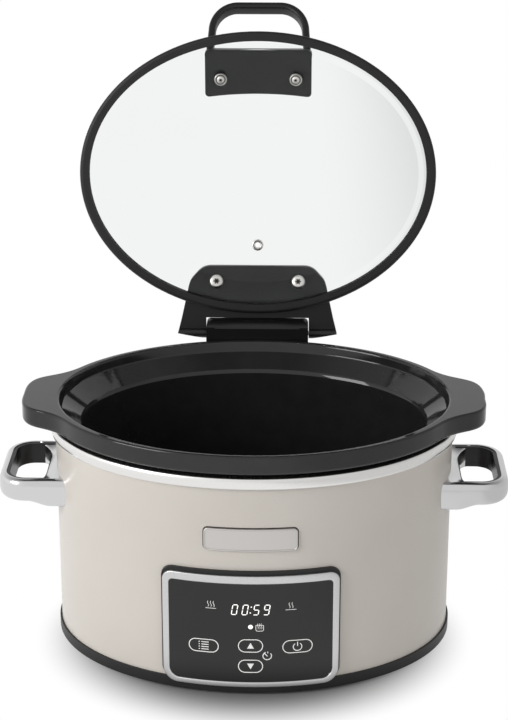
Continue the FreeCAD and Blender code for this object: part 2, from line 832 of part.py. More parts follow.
def build_panel():
    bezel_face = d.panel_thickness + d.bezel_thickness
    fascia_face = d.panel_thickness + d.fascia_thickness
    side = d.bezel_half_width + d.surround_side
    surround = front_plate(-side, side, d.tray_top + d.surround_fit, bezel_top + d.surround_head,
                           d.surround_corner)
    opening = front_plate(-opening_half_width, opening_half_width, opening_bottom, opening_top,
                          d.window_corner)
    plate = cut(curved(surround, zero, d.panel_thickness), opening)
    boss_x = control_board_half_width - d.board_screw_margin
    screws = []
    bosses = []
    bores = []
    holes = []
    for side in (1, -1):
        for z in (control_board_bottom + d.board_screw_margin, control_board_top - d.board_screw_margin):
            x = side * boss_x
            depth = oval_reach(d.housing_half_width + d.panel_thickness / 2,
                               d.housing_half_depth + d.panel_thickness / 2, boss_x + d.board_boss_radius)
            bosses.append(rod("Y", x, -depth, z, d.board_boss_radius, depth + board_front))
            bores.append(rod("Y", x, board_front - d.board_screw_length, z, d.board_screw_radius,
                             d.board_screw_length))
            holes.append(rod("Y", x, board_front, z, d.board_screw_radius, d.board_thickness))
            one = screw("panel_screw", d.board_screw_head_radius, d.board_screw_head_height,
                        d.board_screw_radius, d.board_thickness + d.board_screw_length)
            one.Placement = FreeCAD.Placement(Vector(), FreeCAD.Rotation(Vector(1, 0, 0), 90))
            bind(one, Placement__Base__x=x, Placement__Base__y=board_back, Placement__Base__z=z)
            screws.append(one)
    keep("panel_surround", cut(fuse(plate, *bosses), *bores))

    window = front_plate(-window_half_width, window_half_width, window_bottom, window_top,
                         d.window_corner, d.window_low_corner)
    frame = front_plate(-d.bezel_half_width, d.bezel_half_width, d.bezel_bottom, bezel_top,
                        d.bezel_corner, d.bezel_low_corner)
    keep("panel_bezel", cut(curved(frame, d.panel_thickness, bezel_face), window))
    fascia = curved(window, d.panel_thickness, fascia_face)
    for x, z, width in key_places.values():
        fascia = cut(fascia, key_outline(x, z, width, d.key_clearance))
    keep("panel_fascia", fascia)

    switch_face = board_front - d.switch_height - d.plunger_height
    stem_end = switch_face - d.key_free_gap
    flange_face = d.panel_thickness - d.key_flange_gap
    flange_back = flange_face - d.key_flange_thickness
    switches = []
    for name, (x, z, width) in key_places.items():
        cap = curved(key_outline(x, z, width, zero), flange_back, fascia_face + d.key_proud)
        flange = curved(key_outline(x, z, width, d.key_flange), flange_back, flange_face)
        start = oval_reach(d.housing_half_width + flange_back, d.housing_half_depth + flange_back, x)
        stem = rod("Y", x, -start - d.key_flange_thickness, z, d.key_stem_radius,
                   start + d.key_flange_thickness + stem_end)
        keep(name, fuse(cap, flange, stem))
        half = d.switch_size / 2
        case = box(x - half, board_front - d.switch_height, z - half, d.switch_size, d.switch_height,
                   d.switch_size)
        switches.append(fuse(case, rod("Y", x, switch_face, z, d.plunger_radius, d.plunger_height)))
    keep("key_switches", group(*switches))

    width = 2 * control_board_half_width
    board = box(-control_board_half_width, board_front, control_board_bottom, width, d.board_thickness,
                control_board_top - control_board_bottom)
    keep("control_board", cut(board, *holes))
    keep("control_board_screws", group(*screws))
    reach = oval_reach(d.housing_half_width + d.panel_thickness, d.housing_half_depth + d.panel_thickness,
                       d.display_width / 2) - d.display_gap
    keep("display_module", box(-d.display_width / 2, -reach, d.display_z - d.display_height / 2,
                               d.display_width, reach + board_front, d.display_height))

    # The ribbon hangs from the control board and runs back over the power board's front edge
    low = d.power_board_z + d.board_thickness
    high = control_board_bottom + d.board_screw_margin
    back = d.power_board_y - d.power_board_depth / 2 + d.board_screw_margin
    strip = [(board_back, low), (back, low), (back, low + d.ribbon_thickness),
             (board_back + d.ribbon_thickness, low + d.ribbon_thickness),
             (board_back + d.ribbon_thickness, high), (board_back, high)]
    keep("ribbon_cable", padded_body("ribbon", "YZ_Plane", strip, -d.ribbon_width / 2, d.ribbon_width))

    badge = front_plate(-d.badge_width / 2, d.badge_width / 2, d.badge_z - d.badge_height / 2,
                        d.badge_z + d.badge_height / 2, d.badge_corner)
    keep("badge_plate", curved(badge, d.badge_fit, d.badge_thickness))


# Side handles: a silver shell round the outside, a black liner round the inside of the loop

def build_handles():
    root_x = d.housing_half_width + d.handle_root
    hole_x = handle_reach - d.handle_shell_wall
    hole_y = d.handle_half_width - d.handle_shell_wall
    hole_corner = d.handle_corner - d.handle_shell_wall
    loop = plan_prism(zero, handle_reach, -d.handle_half_width, d.handle_half_width, d.handle_corner,
                      d.handle_bottom, handle_top)
    loop = round_edges(loop, d.handle_round, lambda edge: lies_at(edge, handle_top))
    loop = round_edges(loop, d.handle_under_round, lambda edge: lies_at(edge, d.handle_bottom))
    flare_low = d.handle_bottom - d.handle_flare_drop
    flare_end = root_x + d.handle_flare_length
    step = d.handle_flare_drop / 2
    slope = padded_body("handle_flare", "XZ_Plane",
                        [(zero, flare_low), (root_x - step, flare_low), (flare_end, d.handle_bottom + step),
                         (zero, d.handle_bottom + step)],
                        -d.handle_half_width, 2 * d.handle_half_width)
    beyond = box(root_x, -far, zero, far, 2 * far, rim_top)
    hole = common(plan_prism(zero, hole_x, -hole_y, hole_y, hole_corner, zero, rim_top), beyond)
    wall = oval_prism(d.housing_half_width, d.housing_half_depth, zero, rim_top)
    screw_bore = rod("X", zero, d.handle_screw_y, handle_screw_z, d.handle_screw_radius,
                     root_x - d.handle_screw_radius / 2)
    shell = cut(fuse(loop, slope), hole, wall, screw_bore, mirrored(screw_bore, front_back))
    inner_hole = plan_prism(zero, hole_x - d.handle_liner_wall, d.handle_liner_wall - hole_y,
                            hole_y - d.handle_liner_wall, hole_corner - d.handle_liner_wall, zero, rim_top)
    lining = plan_prism(zero, hole_x, -hole_y, hole_y, hole_corner, d.handle_bottom + d.handle_liner_inset,
                        handle_top - d.handle_liner_inset)
    liner = cut(common(lining, beyond), inner_hole)
    keep("right_handle_shell", shell)
    keep("right_handle_liner", liner)
    keep("left_handle_shell", mirrored(shell, left_right))
    keep("left_handle_liner", mirrored(liner, left_right))

    head_y = d.handle_screw_y + d.screw_head_radius
    seat = inner_half_width * root(1 - head_y * head_y / (inner_half_depth * inner_half_depth))
    one = screw("handle_screw", d.screw_head_radius, d.screw_head_height, d.handle_screw_radius,
                root_x - d.handle_screw_radius / 2 - seat)
    keep("handle_screws", four(stand(one, "X", seat, d.handle_screw_y, handle_screw_z)))


# Cord gland: a flanged bush in the back wall

def build_gland():
    seat = oval_reach(d.housing_half_width, d.housing_half_depth, d.gland_flange_radius)
    inner = inner_half_depth - d.gland_flange
    bush = turned_body("gland", [(d.gland_bore_radius, inner), (d.gland_radius, inner),
                                 (d.gland_radius, d.housing_half_depth),
                                 (d.gland_flange_radius, d.housing_half_depth),
                                 (d.gland_flange_radius, seat + d.gland_flange),
                                 (d.gland_bore_radius, seat + d.gland_flange)])
    keep("cord_gland", stand(bush, "Y", zero, zero, d.gland_z))


# Crock: an oval stoneware pot whose rim runs out into two ears

outline_points = 72
outline_edges = 8


def rim_outline():
    """The rim's outline: the larger of an oval and a squarish ear, run together smoothly at each angle."""
    wide, deep = rim_half_width.value, rim_half_depth.value
    long, broad = ear_reach.value, d.ear_half_width.value
    power, blend = d.ear_power.value, d.ear_blend.value
    points = []
    for i in range(outline_points):
        angle = 2 * math.pi * i / outline_points
        across, along = abs(math.cos(angle)), abs(math.sin(angle))
        plain = 1 / math.hypot(across / wide, along / deep)
        ear = ((across / long) ** power + (along / broad) ** power) ** (-1 / power)
        spread = math.sqrt((plain - ear) ** 2 + blend ** 2) - abs(plain - ear)
        reach = max(plain, ear) + spread / 2
        points.append(Vector(reach * math.cos(angle), reach * math.sin(angle), 0))
    curve = Part.BSplineCurve()
    curve.interpolate(Points=points, PeriodicFlag=True)
    outline = doc.addObject("Part::Feature", "rim_outline")
    first, span = curve.FirstParameter, curve.LastParameter - curve.FirstParameter
    ends = [first + span * i / outline_edges for i in range(outline_edges + 1)]
    outline.Shape = Part.Wire([curve.toShape(start, end) for start, end in zip(ends[:-1], ends[1:])])
    return outline


def build_crock():
    outline = rim_outline()
    bind(outline, Placement__Base__z=rim_bottom)
    slab = extrude(outline, Vector(0, 0, 1), d.rim_height)
    slab = round_edges(slab, d.rim_round, lambda edge: lies_at(edge, rim_top))
    slab = round_edges(slab, d.rim_under_round, lambda edge: lies_at(edge, rim_bottom))
    under_inset = d.rim_under_round + d.rim_tuck
    pot = oval_loft((foot_half_width, foot_half_depth, d.crock_bottom),
                    (neck_half_width, neck_half_depth, neck_height),
                    (rim_half_width - under_inset, rim_half_depth - under_inset, rim_bottom),
                    (rim_half_width - d.rim_round, rim_half_depth - d.rim_round,
                     rim_bottom + d.rim_height / 2))
    pot = round_edges(pot, d.crock_bottom_round, lambda edge: lies_at(edge, d.crock_bottom))
    cavity_bottom = d.crock_bottom + d.crock_floor
    hollow = oval_loft((foot_half_width - d.crock_wall, foot_half_depth - d.crock_wall, cavity_bottom),
                       (neck_half_width - d.crock_wall, neck_half_depth - d.crock_wall, cavity_top),
                       (recess_half_width, recess_half_depth, recess_floor),
                       (recess_half_width + d.recess_draft, recess_half_depth + d.recess_draft, rim_top))
    hollow = round_edges(hollow, d.cavity_round, lambda edge: lies_at(edge, cavity_bottom))
    crock = cut(fuse(slab, pot), hollow)
    crock = round_edges(crock, d.ledge_round, lambda edge: lies_at(edge, cavity_top))
    crock = round_edges(crock, d.recess_round, lambda edge: lies_at(edge, recess_floor))

    def rim_inside(edge):
        return lies_at(edge, rim_top) and edge.isClosed()

    keep("crock", round_edges(crock, d.rim_inner_round, rim_inside))


# Hinge: a post behind the crock and the pin through it

def build_hinge():
    post_top = hinge_z + d.post_radius
    back = hinge_y + d.post_radius
    outline = face_prism(-d.post_half_width, d.post_half_width, d.post_bottom, post_top, d.post_corner,
                         zero, far)
    width = 2 * d.post_half_width
    block = box(-d.post_half_width, zero, d.post_bottom, width, back, hinge_z - d.post_bottom)
    knuckle = rod("X", -d.post_half_width, hinge_y, hinge_z, d.post_radius, width)
    wall = oval_prism(d.housing_half_width, d.housing_half_depth, zero, d.housing_top)
    rim_room = box(-d.post_half_width, zero, d.housing_top, width, rim_half_depth + d.post_rim_gap, post_top)
    pin_bore = rod("X", -d.post_half_width, hinge_y, hinge_z, d.pin_radius, width)
    seat = oval_reach(inner_half_width, inner_half_depth, d.post_screw_x + d.screw_head_radius)
    screw_bore = rod("Y", d.post_screw_x, seat, d.post_screw_z, d.post_screw_radius, d.post_screw_length)
    post = common(outline, fuse(block, knuckle))
    keep("hinge_post", cut(post, wall, rim_room, pin_bore, pair(screw_bore)))
    keep("hinge_pin", rod("X", -d.pin_half_length, hinge_y, hinge_z, d.pin_radius, 2 * d.pin_half_length))
    one = screw("post_screw", d.screw_head_radius, d.screw_head_height, d.post_screw_radius,
                d.post_screw_length)
    keep("hinge_post_screws", pair(stand(one, "Y", d.post_screw_x, seat, d.post_screw_z)))


# Lid, drawn closed: each finished piece is then swung open about the hinge

glass_top = lid_height + d.glass_thickness / 2
glass_bottom = lid_height - d.glass_thickness / 2
dome_centre = glass_top - (d.dome_depth - d.dome_rise)
dome_half_width = lid_half_width - d.glass_inset - d.glass_flange
dome_half_depth = lid_half_depth - d.glass_inset - d.glass_flange


def dome_sizes(half_width, half_depth, depth, height):
    """Half axes of the ellipsoid of this depth that has this oval section at a height over its centre."""
    share = root(1 - height * height / (depth * depth))
    return half_width / share, half_depth / share, depth


outer_dome = dome_sizes(dome_half_width, dome_half_depth, d.dome_depth, d.dome_depth - d.dome_rise)
inner_dome = dome_sizes(dome_half_width - d.glass_thickness, dome_half_depth - d.glass_thickness,
                        d.dome_depth - d.glass_thickness, glass_bottom - dome_centre)


def ellipsoid(axes):
    solid = doc.addObject("Part::Ellipsoid", "dome")
    bind(solid, Radius1=axes[2], Radius2=axes[0], Radius3=axes[1])
    bind(solid, Placement__Base__y=d.lid_centre_y, Placement__Base__z=dome_centre)
    return solid


def swing_open(thing):
    thing.Placement = FreeCAD.Placement(Vector(), FreeCAD.Rotation(Vector(-1, 0, 0), d.lid_open_angle.value))
    turn_cosine, turn_sine = cosine(d.lid_open_angle), sine(d.lid_open_angle)
    bind(thing, Placement__Rotation__Angle=d.lid_open_angle,
         Placement__Base__y=hinge_y - hinge_y * turn_cosine - hinge_z * turn_sine,
         Placement__Base__z=hinge_z + hinge_y * turn_sine - hinge_z * turn_cosine)
    return thing


def keep_lid(label, thing):
    return keep(label, swing_open(thing))


def on_dome(thing, x, y):
    """Stand a piece on the inside of the glass at (x, y), its Z axis out along the glass's normal."""
    wide, deep, tall = (axis.value for axis in inner_dome)
    across, along = x.value, y.value - d.lid_centre_y.value
    up = tall * math.sqrt(1 - (across / wide) ** 2 - (along / deep) ** 2)
    normal = Vector(across / wide ** 2, along / deep ** 2, up / tall ** 2)
    turn = FreeCAD.Rotation(Vector(0, 0, 1), normal)
    spot = Vector(across, y.value, dome_centre.value + up)
    thing.Placement = FreeCAD.Placement(spot, turn)
    return thing


def drill(name, radius, start, end):
    """A straight drill along its own Z axis, to be cut from what it goes through."""
    return turned_body(name, [(zero, start), (radius, start), (radius, end), (zero, end)])


def build_lid():
    hole_radius = d.lid_screw_radius + d.lid_screw_clearance
    grip_y = d.grip_screw_inset - lid_half_depth
    bracket_y = lid_half_depth - d.bracket_screw_inset
    vent_y = lid_half_depth - d.vent_inset
    shank_hole = drill("shank_hole", hole_radius, -d.glass_thickness, 2 * d.glass_thickness)
    other_hole = drill("other_hole", hole_radius, -d.glass_thickness, 2 * d.glass_thickness)
    vent_hole = drill("vent_hole", d.vent_radius, -d.glass_thickness, 2 * d.glass_thickness)
    on_dome(shank_hole, d.grip_screw_x, grip_y)
    on_dome(other_hole, d.bracket_screw_x, bracket_y)
    on_dome(vent_hole, zero, vent_y)

    edge_half_width = lid_half_width - d.glass_inset
    edge_half_depth = lid_half_depth - d.glass_inset
    room = box(-far, -far, glass_top, 2 * far, 2 * far, d.dome_depth)
    flange = oval_prism(edge_half_width, edge_half_depth, glass_bottom, glass_top, d.lid_centre_y)
    dome = fuse(flange, common(ellipsoid(outer_dome), room))
    pane = cut(dome, ellipsoid(inner_dome))
    keep_lid("lid_glass", cut(pane, pair(shank_hole), pair(other_hole), vent_hole))

    seal_low = lid_height - d.seal_height / 2
    seal_high = lid_height + d.seal_height / 2
    ring = oval_prism(lid_half_width, lid_half_depth, seal_low, seal_high, d.lid_centre_y)
    ring = round_edges(ring, d.seal_round, lambda edge: edge.isClosed())
    middle = oval_prism(lid_half_width - d.seal_width, lid_half_depth - d.seal_width, seal_low, seal_high,
                        d.lid_centre_y)
    edge_room = oval_prism(edge_half_width, edge_half_depth, glass_bottom, glass_top, d.lid_centre_y)
    keep_lid("lid_seal", cut(ring, middle, edge_room))

    grip_screw = screw("grip_screw", d.screw_head_radius, d.screw_head_height, d.lid_screw_radius,
                       d.washer_thickness + d.glass_thickness + d.lid_screw_grip)
    washer = turned_body("washer", [(d.lid_screw_radius, zero), (d.washer_radius, zero),
                                    (d.washer_radius, d.washer_thickness),
                                    (d.lid_screw_radius, d.washer_thickness)])
    bracket_screw = screw("bracket_screw", d.bracket_head_radius, d.bracket_head_height, d.lid_screw_radius,
                          d.glass_thickness + d.lid_screw_grip)
    vent_far = d.glass_thickness + d.vent_flange
    vent = turned_body("vent", [(d.vent_bore_radius, -d.vent_flange), (d.vent_flange_radius, -d.vent_flange),
                                (d.vent_flange_radius, zero), (d.vent_radius, zero),
                                (d.vent_radius, vent_far), (d.vent_bore_radius, vent_far)])
    on_dome(vent, zero, vent_y)
    for thing, x, y, sunk in ((grip_screw, d.grip_screw_x, grip_y, d.washer_thickness + d.lid_bedding),
                              (washer, d.grip_screw_x, grip_y, d.washer_thickness + d.lid_bedding),
                              (bracket_screw, d.bracket_screw_x, bracket_y, d.lid_bedding),
                              (vent, zero, vent_y, d.lid_bedding)):
        on_dome(thing, x, y)
        inward = thing.Placement.Rotation.multVec(Vector(0, 0, -sunk.value))
        thing.Placement.Base = thing.Placement.Base + inward
    keep_lid("lid_handle_screws", pair(grip_screw))
    keep_lid("lid_handle_washers", pair(washer))
    keep_lid("bracket_screws", pair(bracket_screw))
    keep_lid("steam_vent", group(vent))

    # Handle: a base that fits the dome and a strap loop that leans forward over the rim
    base_y = d.grip_base_inset - lid_half_depth
    base_top = lid_height + d.grip_base_rise
    base = plan_prism(-d.grip_base_width / 2, d.grip_base_width / 2, base_y - d.grip_base_depth / 2,
                      base_y + d.grip_base_depth / 2, d.grip_base_corner, glass_bottom, base_top)
    base = round_edges(base, d.grip_base_round, lambda edge: lies_at(edge, base_top))
    hollow_half_depth = d.lid_centre_y - base_y - d.grip_base_depth / 2 + d.grip_base_scoop
    hollow = oval_prism(lid_half_width, hollow_half_depth, glass_bottom, base_top, d.lid_centre_y)
    loop = doc.addObject("Sketcher::SketchObject", "loop")
    draw_rounded(loop, -d.grip_width / 2, d.grip_width / 2, -d.grip_corner, d.grip_length, d.grip_corner)
    gap = doc.addObject("Sketcher::SketchObject", "loop_gap")
    draw_rounded(gap, d.grip_bar - d.grip_width / 2, d.grip_width / 2 - d.grip_bar, d.grip_bar / 2,
                 d.grip_length - d.grip_bar, d.grip_corner - d.grip_bar)
    root_y = d.grip_root_inset - lid_half_depth
    root_z = lid_height + d.grip_root_rise
    lean = 180 - d.grip_lean
    straps = []
    for sketch in (loop, gap):
        sketch.Placement = FreeCAD.Placement(Vector(), FreeCAD.Rotation(Vector(1, 0, 0), lean.value))
        bind(sketch, Placement__Rotation__Angle=lean, Placement__Base__y=root_y,
             Placement__Base__z=root_z)
        strap = doc.addObject("Part::Extrusion", "strap")
        strap.Base = sketch
        strap.DirMode = "Normal"
        strap.Solid = True
        strap.Symmetric = True
        bind(strap, LengthFwd=d.grip_depth)
        straps.append(strap)
    facing = loop.Placement.Rotation.multVec(Vector(0, 0, 1))

    def on_flank(edge):
        """True for the edges round the loop's two flat sides."""
        heights = [corner.Point.dot(facing) for corner in edge.Vertexes]
        return max(heights) - min(heights) < 1e-4

    band = round_edges(cut(*straps), d.grip_edge_round, on_flank)
    bore = drill("grip_bore", d.lid_screw_radius, zero, d.glass_thickness + d.lid_screw_grip)
    on_dome(bore, d.grip_screw_x, grip_y)
    handle = fuse(cut(base, hollow), band)
    keep_lid("lid_handle", cut(handle, ellipsoid(outer_dome), pair(bore)))

    # Bracket: a plate on the glass and two arms that turn on the hinge pin
    plate_low = rim_top + d.bracket_rim_gap
    plate_top = plate_low + d.bracket_thickness
    cross = hinge_y - d.post_radius - d.bracket_gap
    inner = d.post_half_width + d.bracket_side_gap
    tip = hinge_y + d.arm_radius
    corners = [(d.bracket_front_half_width, lid_half_depth - d.bracket_front_inset),
               (d.bracket_shoulder_half_width, lid_half_depth - d.bracket_shoulder_inset)]
    half = corners + [(d.bracket_half_width, cross), (d.arm_half_width, hinge_y),
                      (inner + d.arm_tip_width, tip), (inner, tip), (inner, cross)]
    outline = half + [(-x, y) for x, y in reversed(half)]
    plan = doc.addObject("Sketcher::SketchObject", "bracket_plan")
    draw_polygon(plan, outline)
    bind(plan, Placement__Base__z=glass_bottom)
    prism = extrude(plan, Vector(0, 0, 1), d.dome_depth)

    def at_corner(edge):
        """True for the upright edges at the bracket's front corners and shoulders."""
        middle = edge.BoundBox.Center
        return any(abs(abs(middle.x) - x.value) < 1e-4 and abs(middle.y - y.value) < 1e-4 for x, y in corners)

    prism = round_edges(prism, d.bracket_corner, at_corner)
    slab = box(-far, zero, plate_low, 2 * far, 2 * far, d.bracket_thickness)
    knuckle = rod("X", -d.arm_half_width, hinge_y, hinge_z, d.arm_radius, 2 * d.arm_half_width)
    bore = rod("X", -d.arm_half_width, hinge_y, hinge_z, d.pin_radius + d.pin_clearance,
               2 * d.arm_half_width)
    thread = drill("bracket_bore", d.lid_screw_radius, zero, d.glass_thickness + d.lid_screw_grip)
    on_dome(thread, d.bracket_screw_x, bracket_y)
    bracket = common(prism, fuse(slab, knuckle))
    keep_lid("lid_bracket", cut(bracket, ellipsoid(outer_dome), bore, pair(thread)))


build_base()
build_housing()
build_heater()
build_power_board()
build_panel()
build_handles()
build_gland()
build_crock()
build_hinge()
build_lid()
doc.recompute()

# Nothing is written unless every object of the document is sound
for thing in doc.Objects:
    if "Invalid" in thing.State or "Error" in thing.State:
        raise RuntimeError(f"{thing.Label} failed: {thing.State}")
for label, thing in nodes.items():
    shape = thing.Shape
    if shape.isNull() or not shape.isValid() or not shape.Solids:
        raise RuntimeError(f"{label} has no sound shape")

os.makedirs("parts", exist_ok=True)
for label, thing in nodes.items():
    thing.Shape.exportStep(f"parts/{label}.step")
    corner = thing.Shape.BoundBox
    print(f"{label}: {len(thing.Shape.Solids)} solid(s), {thing.Shape.Volume / 1000:.2f} cm3,",
          f"x {corner.XMin:.1f}..{corner.XMax:.1f} y {corner.YMin:.1f}..{corner.YMax:.1f}",
          f"z {corner.ZMin:.1f}..{corner.ZMax:.1f}")
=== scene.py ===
import math

import bmesh
import bpy
import numpy as np
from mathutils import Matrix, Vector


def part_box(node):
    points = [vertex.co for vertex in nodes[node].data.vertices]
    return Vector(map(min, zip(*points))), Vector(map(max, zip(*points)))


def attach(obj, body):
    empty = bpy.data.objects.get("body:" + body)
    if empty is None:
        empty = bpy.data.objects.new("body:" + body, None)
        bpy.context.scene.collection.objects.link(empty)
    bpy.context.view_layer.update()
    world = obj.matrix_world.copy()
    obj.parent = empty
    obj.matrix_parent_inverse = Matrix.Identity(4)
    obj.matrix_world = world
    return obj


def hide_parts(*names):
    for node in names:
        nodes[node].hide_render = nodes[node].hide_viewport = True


# Slow cooker with its hinged glass lid open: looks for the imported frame, in metres, front towards -Y.

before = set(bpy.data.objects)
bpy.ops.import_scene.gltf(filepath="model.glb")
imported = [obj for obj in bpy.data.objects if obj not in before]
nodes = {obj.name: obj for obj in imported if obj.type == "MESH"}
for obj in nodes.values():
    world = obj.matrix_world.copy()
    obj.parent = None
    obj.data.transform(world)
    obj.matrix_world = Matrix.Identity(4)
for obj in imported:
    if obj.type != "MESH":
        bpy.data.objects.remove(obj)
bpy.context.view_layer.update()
print("frame loaded with", len(nodes), "nodes")

# the oval of the housing, how far the faces on its front stand out of it, and the pin that the lid turns on
housing = dict(halfWidth=0.1400, halfDepth=0.1085, fascia=0.0034, keyCap=0.00355, bezelSeat=0.0022,
               badgeTop=0.0014)
hinge = dict(y=0.1222, z=0.1797, openAngle=math.radians(99))


# Colours and materials

def hexLinear(code):  # sRGB hex to the linear colour that a shader takes
    share = np.array([int(code[i:i + 2], 16) for i in (0, 2, 4)]) / 255
    linear = np.where(share <= 0.04045, share / 12.92, ((share + 0.055) / 1.055) ** 2.4)
    return (*linear.tolist(), 1.0)


def addNode(tree, kind, settings=None, links=None):
    # one node: settings by the name of an input or attribute, links by input
    node = tree.nodes.new(kind)
    for name, value in (settings or {}).items():
        if isinstance(name, int) or name in node.inputs:
            node.inputs[name].default_value = value
        else:
            setattr(node, name, value)
    for name, socket in (links or {}).items():
        tree.links.new(socket, node.inputs[name])
    return node


def newMaterial(name, settings):  # a Principled surface with its steady values on its own sockets
    material = bpy.data.materials.new(name)
    material.use_nodes = True
    tree = material.node_tree
    shader = tree.nodes["Principled BSDF"]
    for socket, value in settings.items():
        shader.inputs[socket].default_value = value
    place = addNode(tree, "ShaderNodeTexCoord").outputs["Object"]
    return material, tree, shader, place


# the size in each of these is that of the pattern's blotches, in metres

def tint(tree, shader, place, size, low, high, detail=3.0):  # cloudy change between two close colours
    noise = addNode(tree, "ShaderNodeTexNoise", dict(Scale=1 / size, Detail=detail), dict(Vector=place))
    ramp = addNode(tree, "ShaderNodeValToRGB", None, dict(Fac=noise.outputs["Fac"]))
    for stop, position, code in zip(ramp.color_ramp.elements, (0.3, 0.7), (low, high)):
        stop.position = position
        stop.color = hexLinear(code)
    tree.links.new(ramp.outputs["Color"], shader.inputs["Base Color"])


def wear(tree, shader, place, size, low, high, detail=4.0):  # roughness that varies over the surface
    noise = addNode(tree, "ShaderNodeTexNoise", dict(Scale=1 / size, Detail=detail), dict(Vector=place))
    span = addNode(tree, "ShaderNodeMapRange", {"To Min": low, "To Max": high},
                   dict(Value=noise.outputs["Fac"]))
    tree.links.new(span.outputs["Result"], shader.inputs["Roughness"])


def relief(tree, shader, place, size, depth, strength, detail=2.0):  # fine relief, its depth in metres
    noise = addNode(tree, "ShaderNodeTexNoise", dict(Scale=1 / size, Detail=detail), dict(Vector=place))
    bump = addNode(tree, "ShaderNodeBump", dict(Strength=strength, Distance=depth),
                   dict(Height=noise.outputs["Fac"]))
    tree.links.new(bump.outputs["Normal"], shader.inputs["Normal"])


def stovedPaint():
    # sprayed and stoved enamel on steel: an even satin skin with a faint orange peel about 1.5 mm across
    material, tree, shader, place = newMaterial("stoved satin enamel", {
        "Roughness": 0.36, "IOR": 1.5, "Coat Weight": 0.15, "Coat Roughness": 0.2})
    tint(tree, shader, place, 0.06, "C9C3BB", "CDC7BF")
    relief(tree, shader, place, 0.0015, 0.00003, 0.12)
    return material


def brushedSteel(name, colour, rough, squeeze):
    # drawn metal: a soft sheen broken by grain marks about 0.5 mm long, squeezed finer along Z
    material, tree, shader, place = newMaterial(name, {"Metallic": 1.0, "Base Color": hexLinear(colour)})
    drawn = addNode(tree, "ShaderNodeMapping", dict(Scale=(1.0, 1.0, squeeze)), dict(Vector=place))
    grain = drawn.outputs["Vector"]
    wear(tree, shader, grain, 0.0005, rough - 0.06, rough + 0.06, 3.0)
    relief(tree, shader, grain, 0.0005, 0.00001, 0.15, 3.0)
    return material


def platedChrome():  # chrome on moulded plastic, satin polished: clear reflections with soft edges
    material, tree, shader, place = newMaterial("satin chrome plate", {
        "Metallic": 1.0, "Base Color": hexLinear("D2D2D3")})
    wear(tree, shader, place, 0.012, 0.12, 0.18)
    return material


def mouldedPlastic(name, low, high, rough, grain=0.0006):
    # moulded plastic, rubber or lacquer: an even dull face with a fine spark-eroded grain
    material, tree, shader, place = newMaterial(name, {"IOR": 1.42, "Roughness": rough})
    tint(tree, shader, place, 0.03, low, high)
    relief(tree, shader, place, grain, 0.00002, 0.05)
    return material


def silverLacquer():  # metallic lacquer on a moulded frame: pale silver with a soft sparkle
    material, tree, shader, place = newMaterial("silver lacquer", {
        "Metallic": 0.9, "Coat Weight": 0.15, "Coat Roughness": 0.1})
    tint(tree, shader, place, 0.0008, "C8C8C8", "D0D0D0", 1.0)
    wear(tree, shader, place, 0.01, 0.26, 0.34)
    return material


def smokedAcrylic():  # smoked acrylic sheet: near-black, polished, faintly warm
    material, tree, shader, place = newMaterial("smoked acrylic", {"IOR": 1.49})
    tint(tree, shader, place, 0.05, "0E0C0C", "121010")
    wear(tree, shader, place, 0.02, 0.10, 0.16)
    return material


def blackGlaze():  # black glaze on stoneware: a deep gloss that pools a little unevenly
    material, tree, shader, place = newMaterial("black stoneware glaze", {"IOR": 1.46})
    tint(tree, shader, place, 0.012, "1F1E1E", "232222", 2.0)
    wear(tree, shader, place, 0.02, 0.05, 0.09)
    relief(tree, shader, place, 0.030, 0.0003, 0.08, 1.0)
    return material


def temperedGlass():  # pressed tempered glass: clear and smooth, with a very slight green cast
    material, tree, shader, place = newMaterial("tempered glass", {
        "Base Color": hexLinear("F2F4F3"), "IOR": 1.2, "Transmission Weight": 1.0})
    wear(tree, shader, place, 0.05, 0.0, 0.015)
    return material


def softSilicone():  # moulded silicone: dull, slightly dusty black
    material, tree, shader, place = newMaterial("moulded silicone", {"IOR": 1.41})
    tint(tree, shader, place, 0.01, "141414", "191919")
    wear(tree, shader, place, 0.004, 0.42, 0.55)
    return material


def screenPrint(name, low, high, glow):  # opaque white ink with a faint painted glow, or a lit segment of the display
    material, tree, shader, place = newMaterial(name, {
        "IOR": 1.5, "Roughness": 0.5, "Emission Color": hexLinear(high), "Emission Strength": glow})
    tint(tree, shader, place, 0.002, low, high)
    return material


enamel = stovedPaint()
collarSteel = brushedSteel("brushed collar steel", "E6E5E3", 0.26, 6.0)
screwSteel = brushedSteel("zinc plated steel", "DAD8D4", 0.3, 1.0)
wellMetal = brushedSteel("spun aluminium", "A5A5A6", 0.42, 8.0)
badgeMetal = brushedSteel("satin aluminium plate", "C8C5C2", 0.42, 8.0)
chrome = platedChrome()
blackAbs = mouldedPlastic("black moulded plastic", "0E0E0E", "121212", 0.36)
gripAbs = mouldedPlastic("black grip plastic", "181818", "1D1D1D", 0.40)
trimAbs = mouldedPlastic("dark grey moulded plastic", "1A1A1A", "1F1F1F", 0.45)
bezelLacquer = silverLacquer()
acrylic = smokedAcrylic()
glaze = blackGlaze()
glass = temperedGlass()
silicone = softSilicone()
footRubber = mouldedPlastic("foot rubber", "151515", "1B1B1B", 0.7, 0.001)
lacquerBoard = mouldedPlastic("green board lacquer", "0F4A22", "145628", 0.3, 0.002)
blackPotting = mouldedPlastic("black component moulding", "1C1C1E", "242426", 0.5)
ironCore = mouldedPlastic("lacquered iron laminations", "4A4440", "565049", 0.55, 0.0005)
micaWrap = mouldedPlastic("mica and foil wrap", "8A7A66", "9A8A74", 0.6, 0.004)
cableSkin = mouldedPlastic("cable jacket", "8E8E8A", "9A9A95", 0.6)
# a near-black for painted shade: in the screw stars, under the washers and in the eyelet's groove
socketShadePaint = mouldedPlastic("painted shade in screw sockets", "1C1A19", "242220", 0.5)
# the white ink glows faintly though it is no lamp: a painted glow
whitePrintPaintedGlow = screenPrint("white screen print with painted glow", "ECEBE8", "F2F1EE", 0.12)
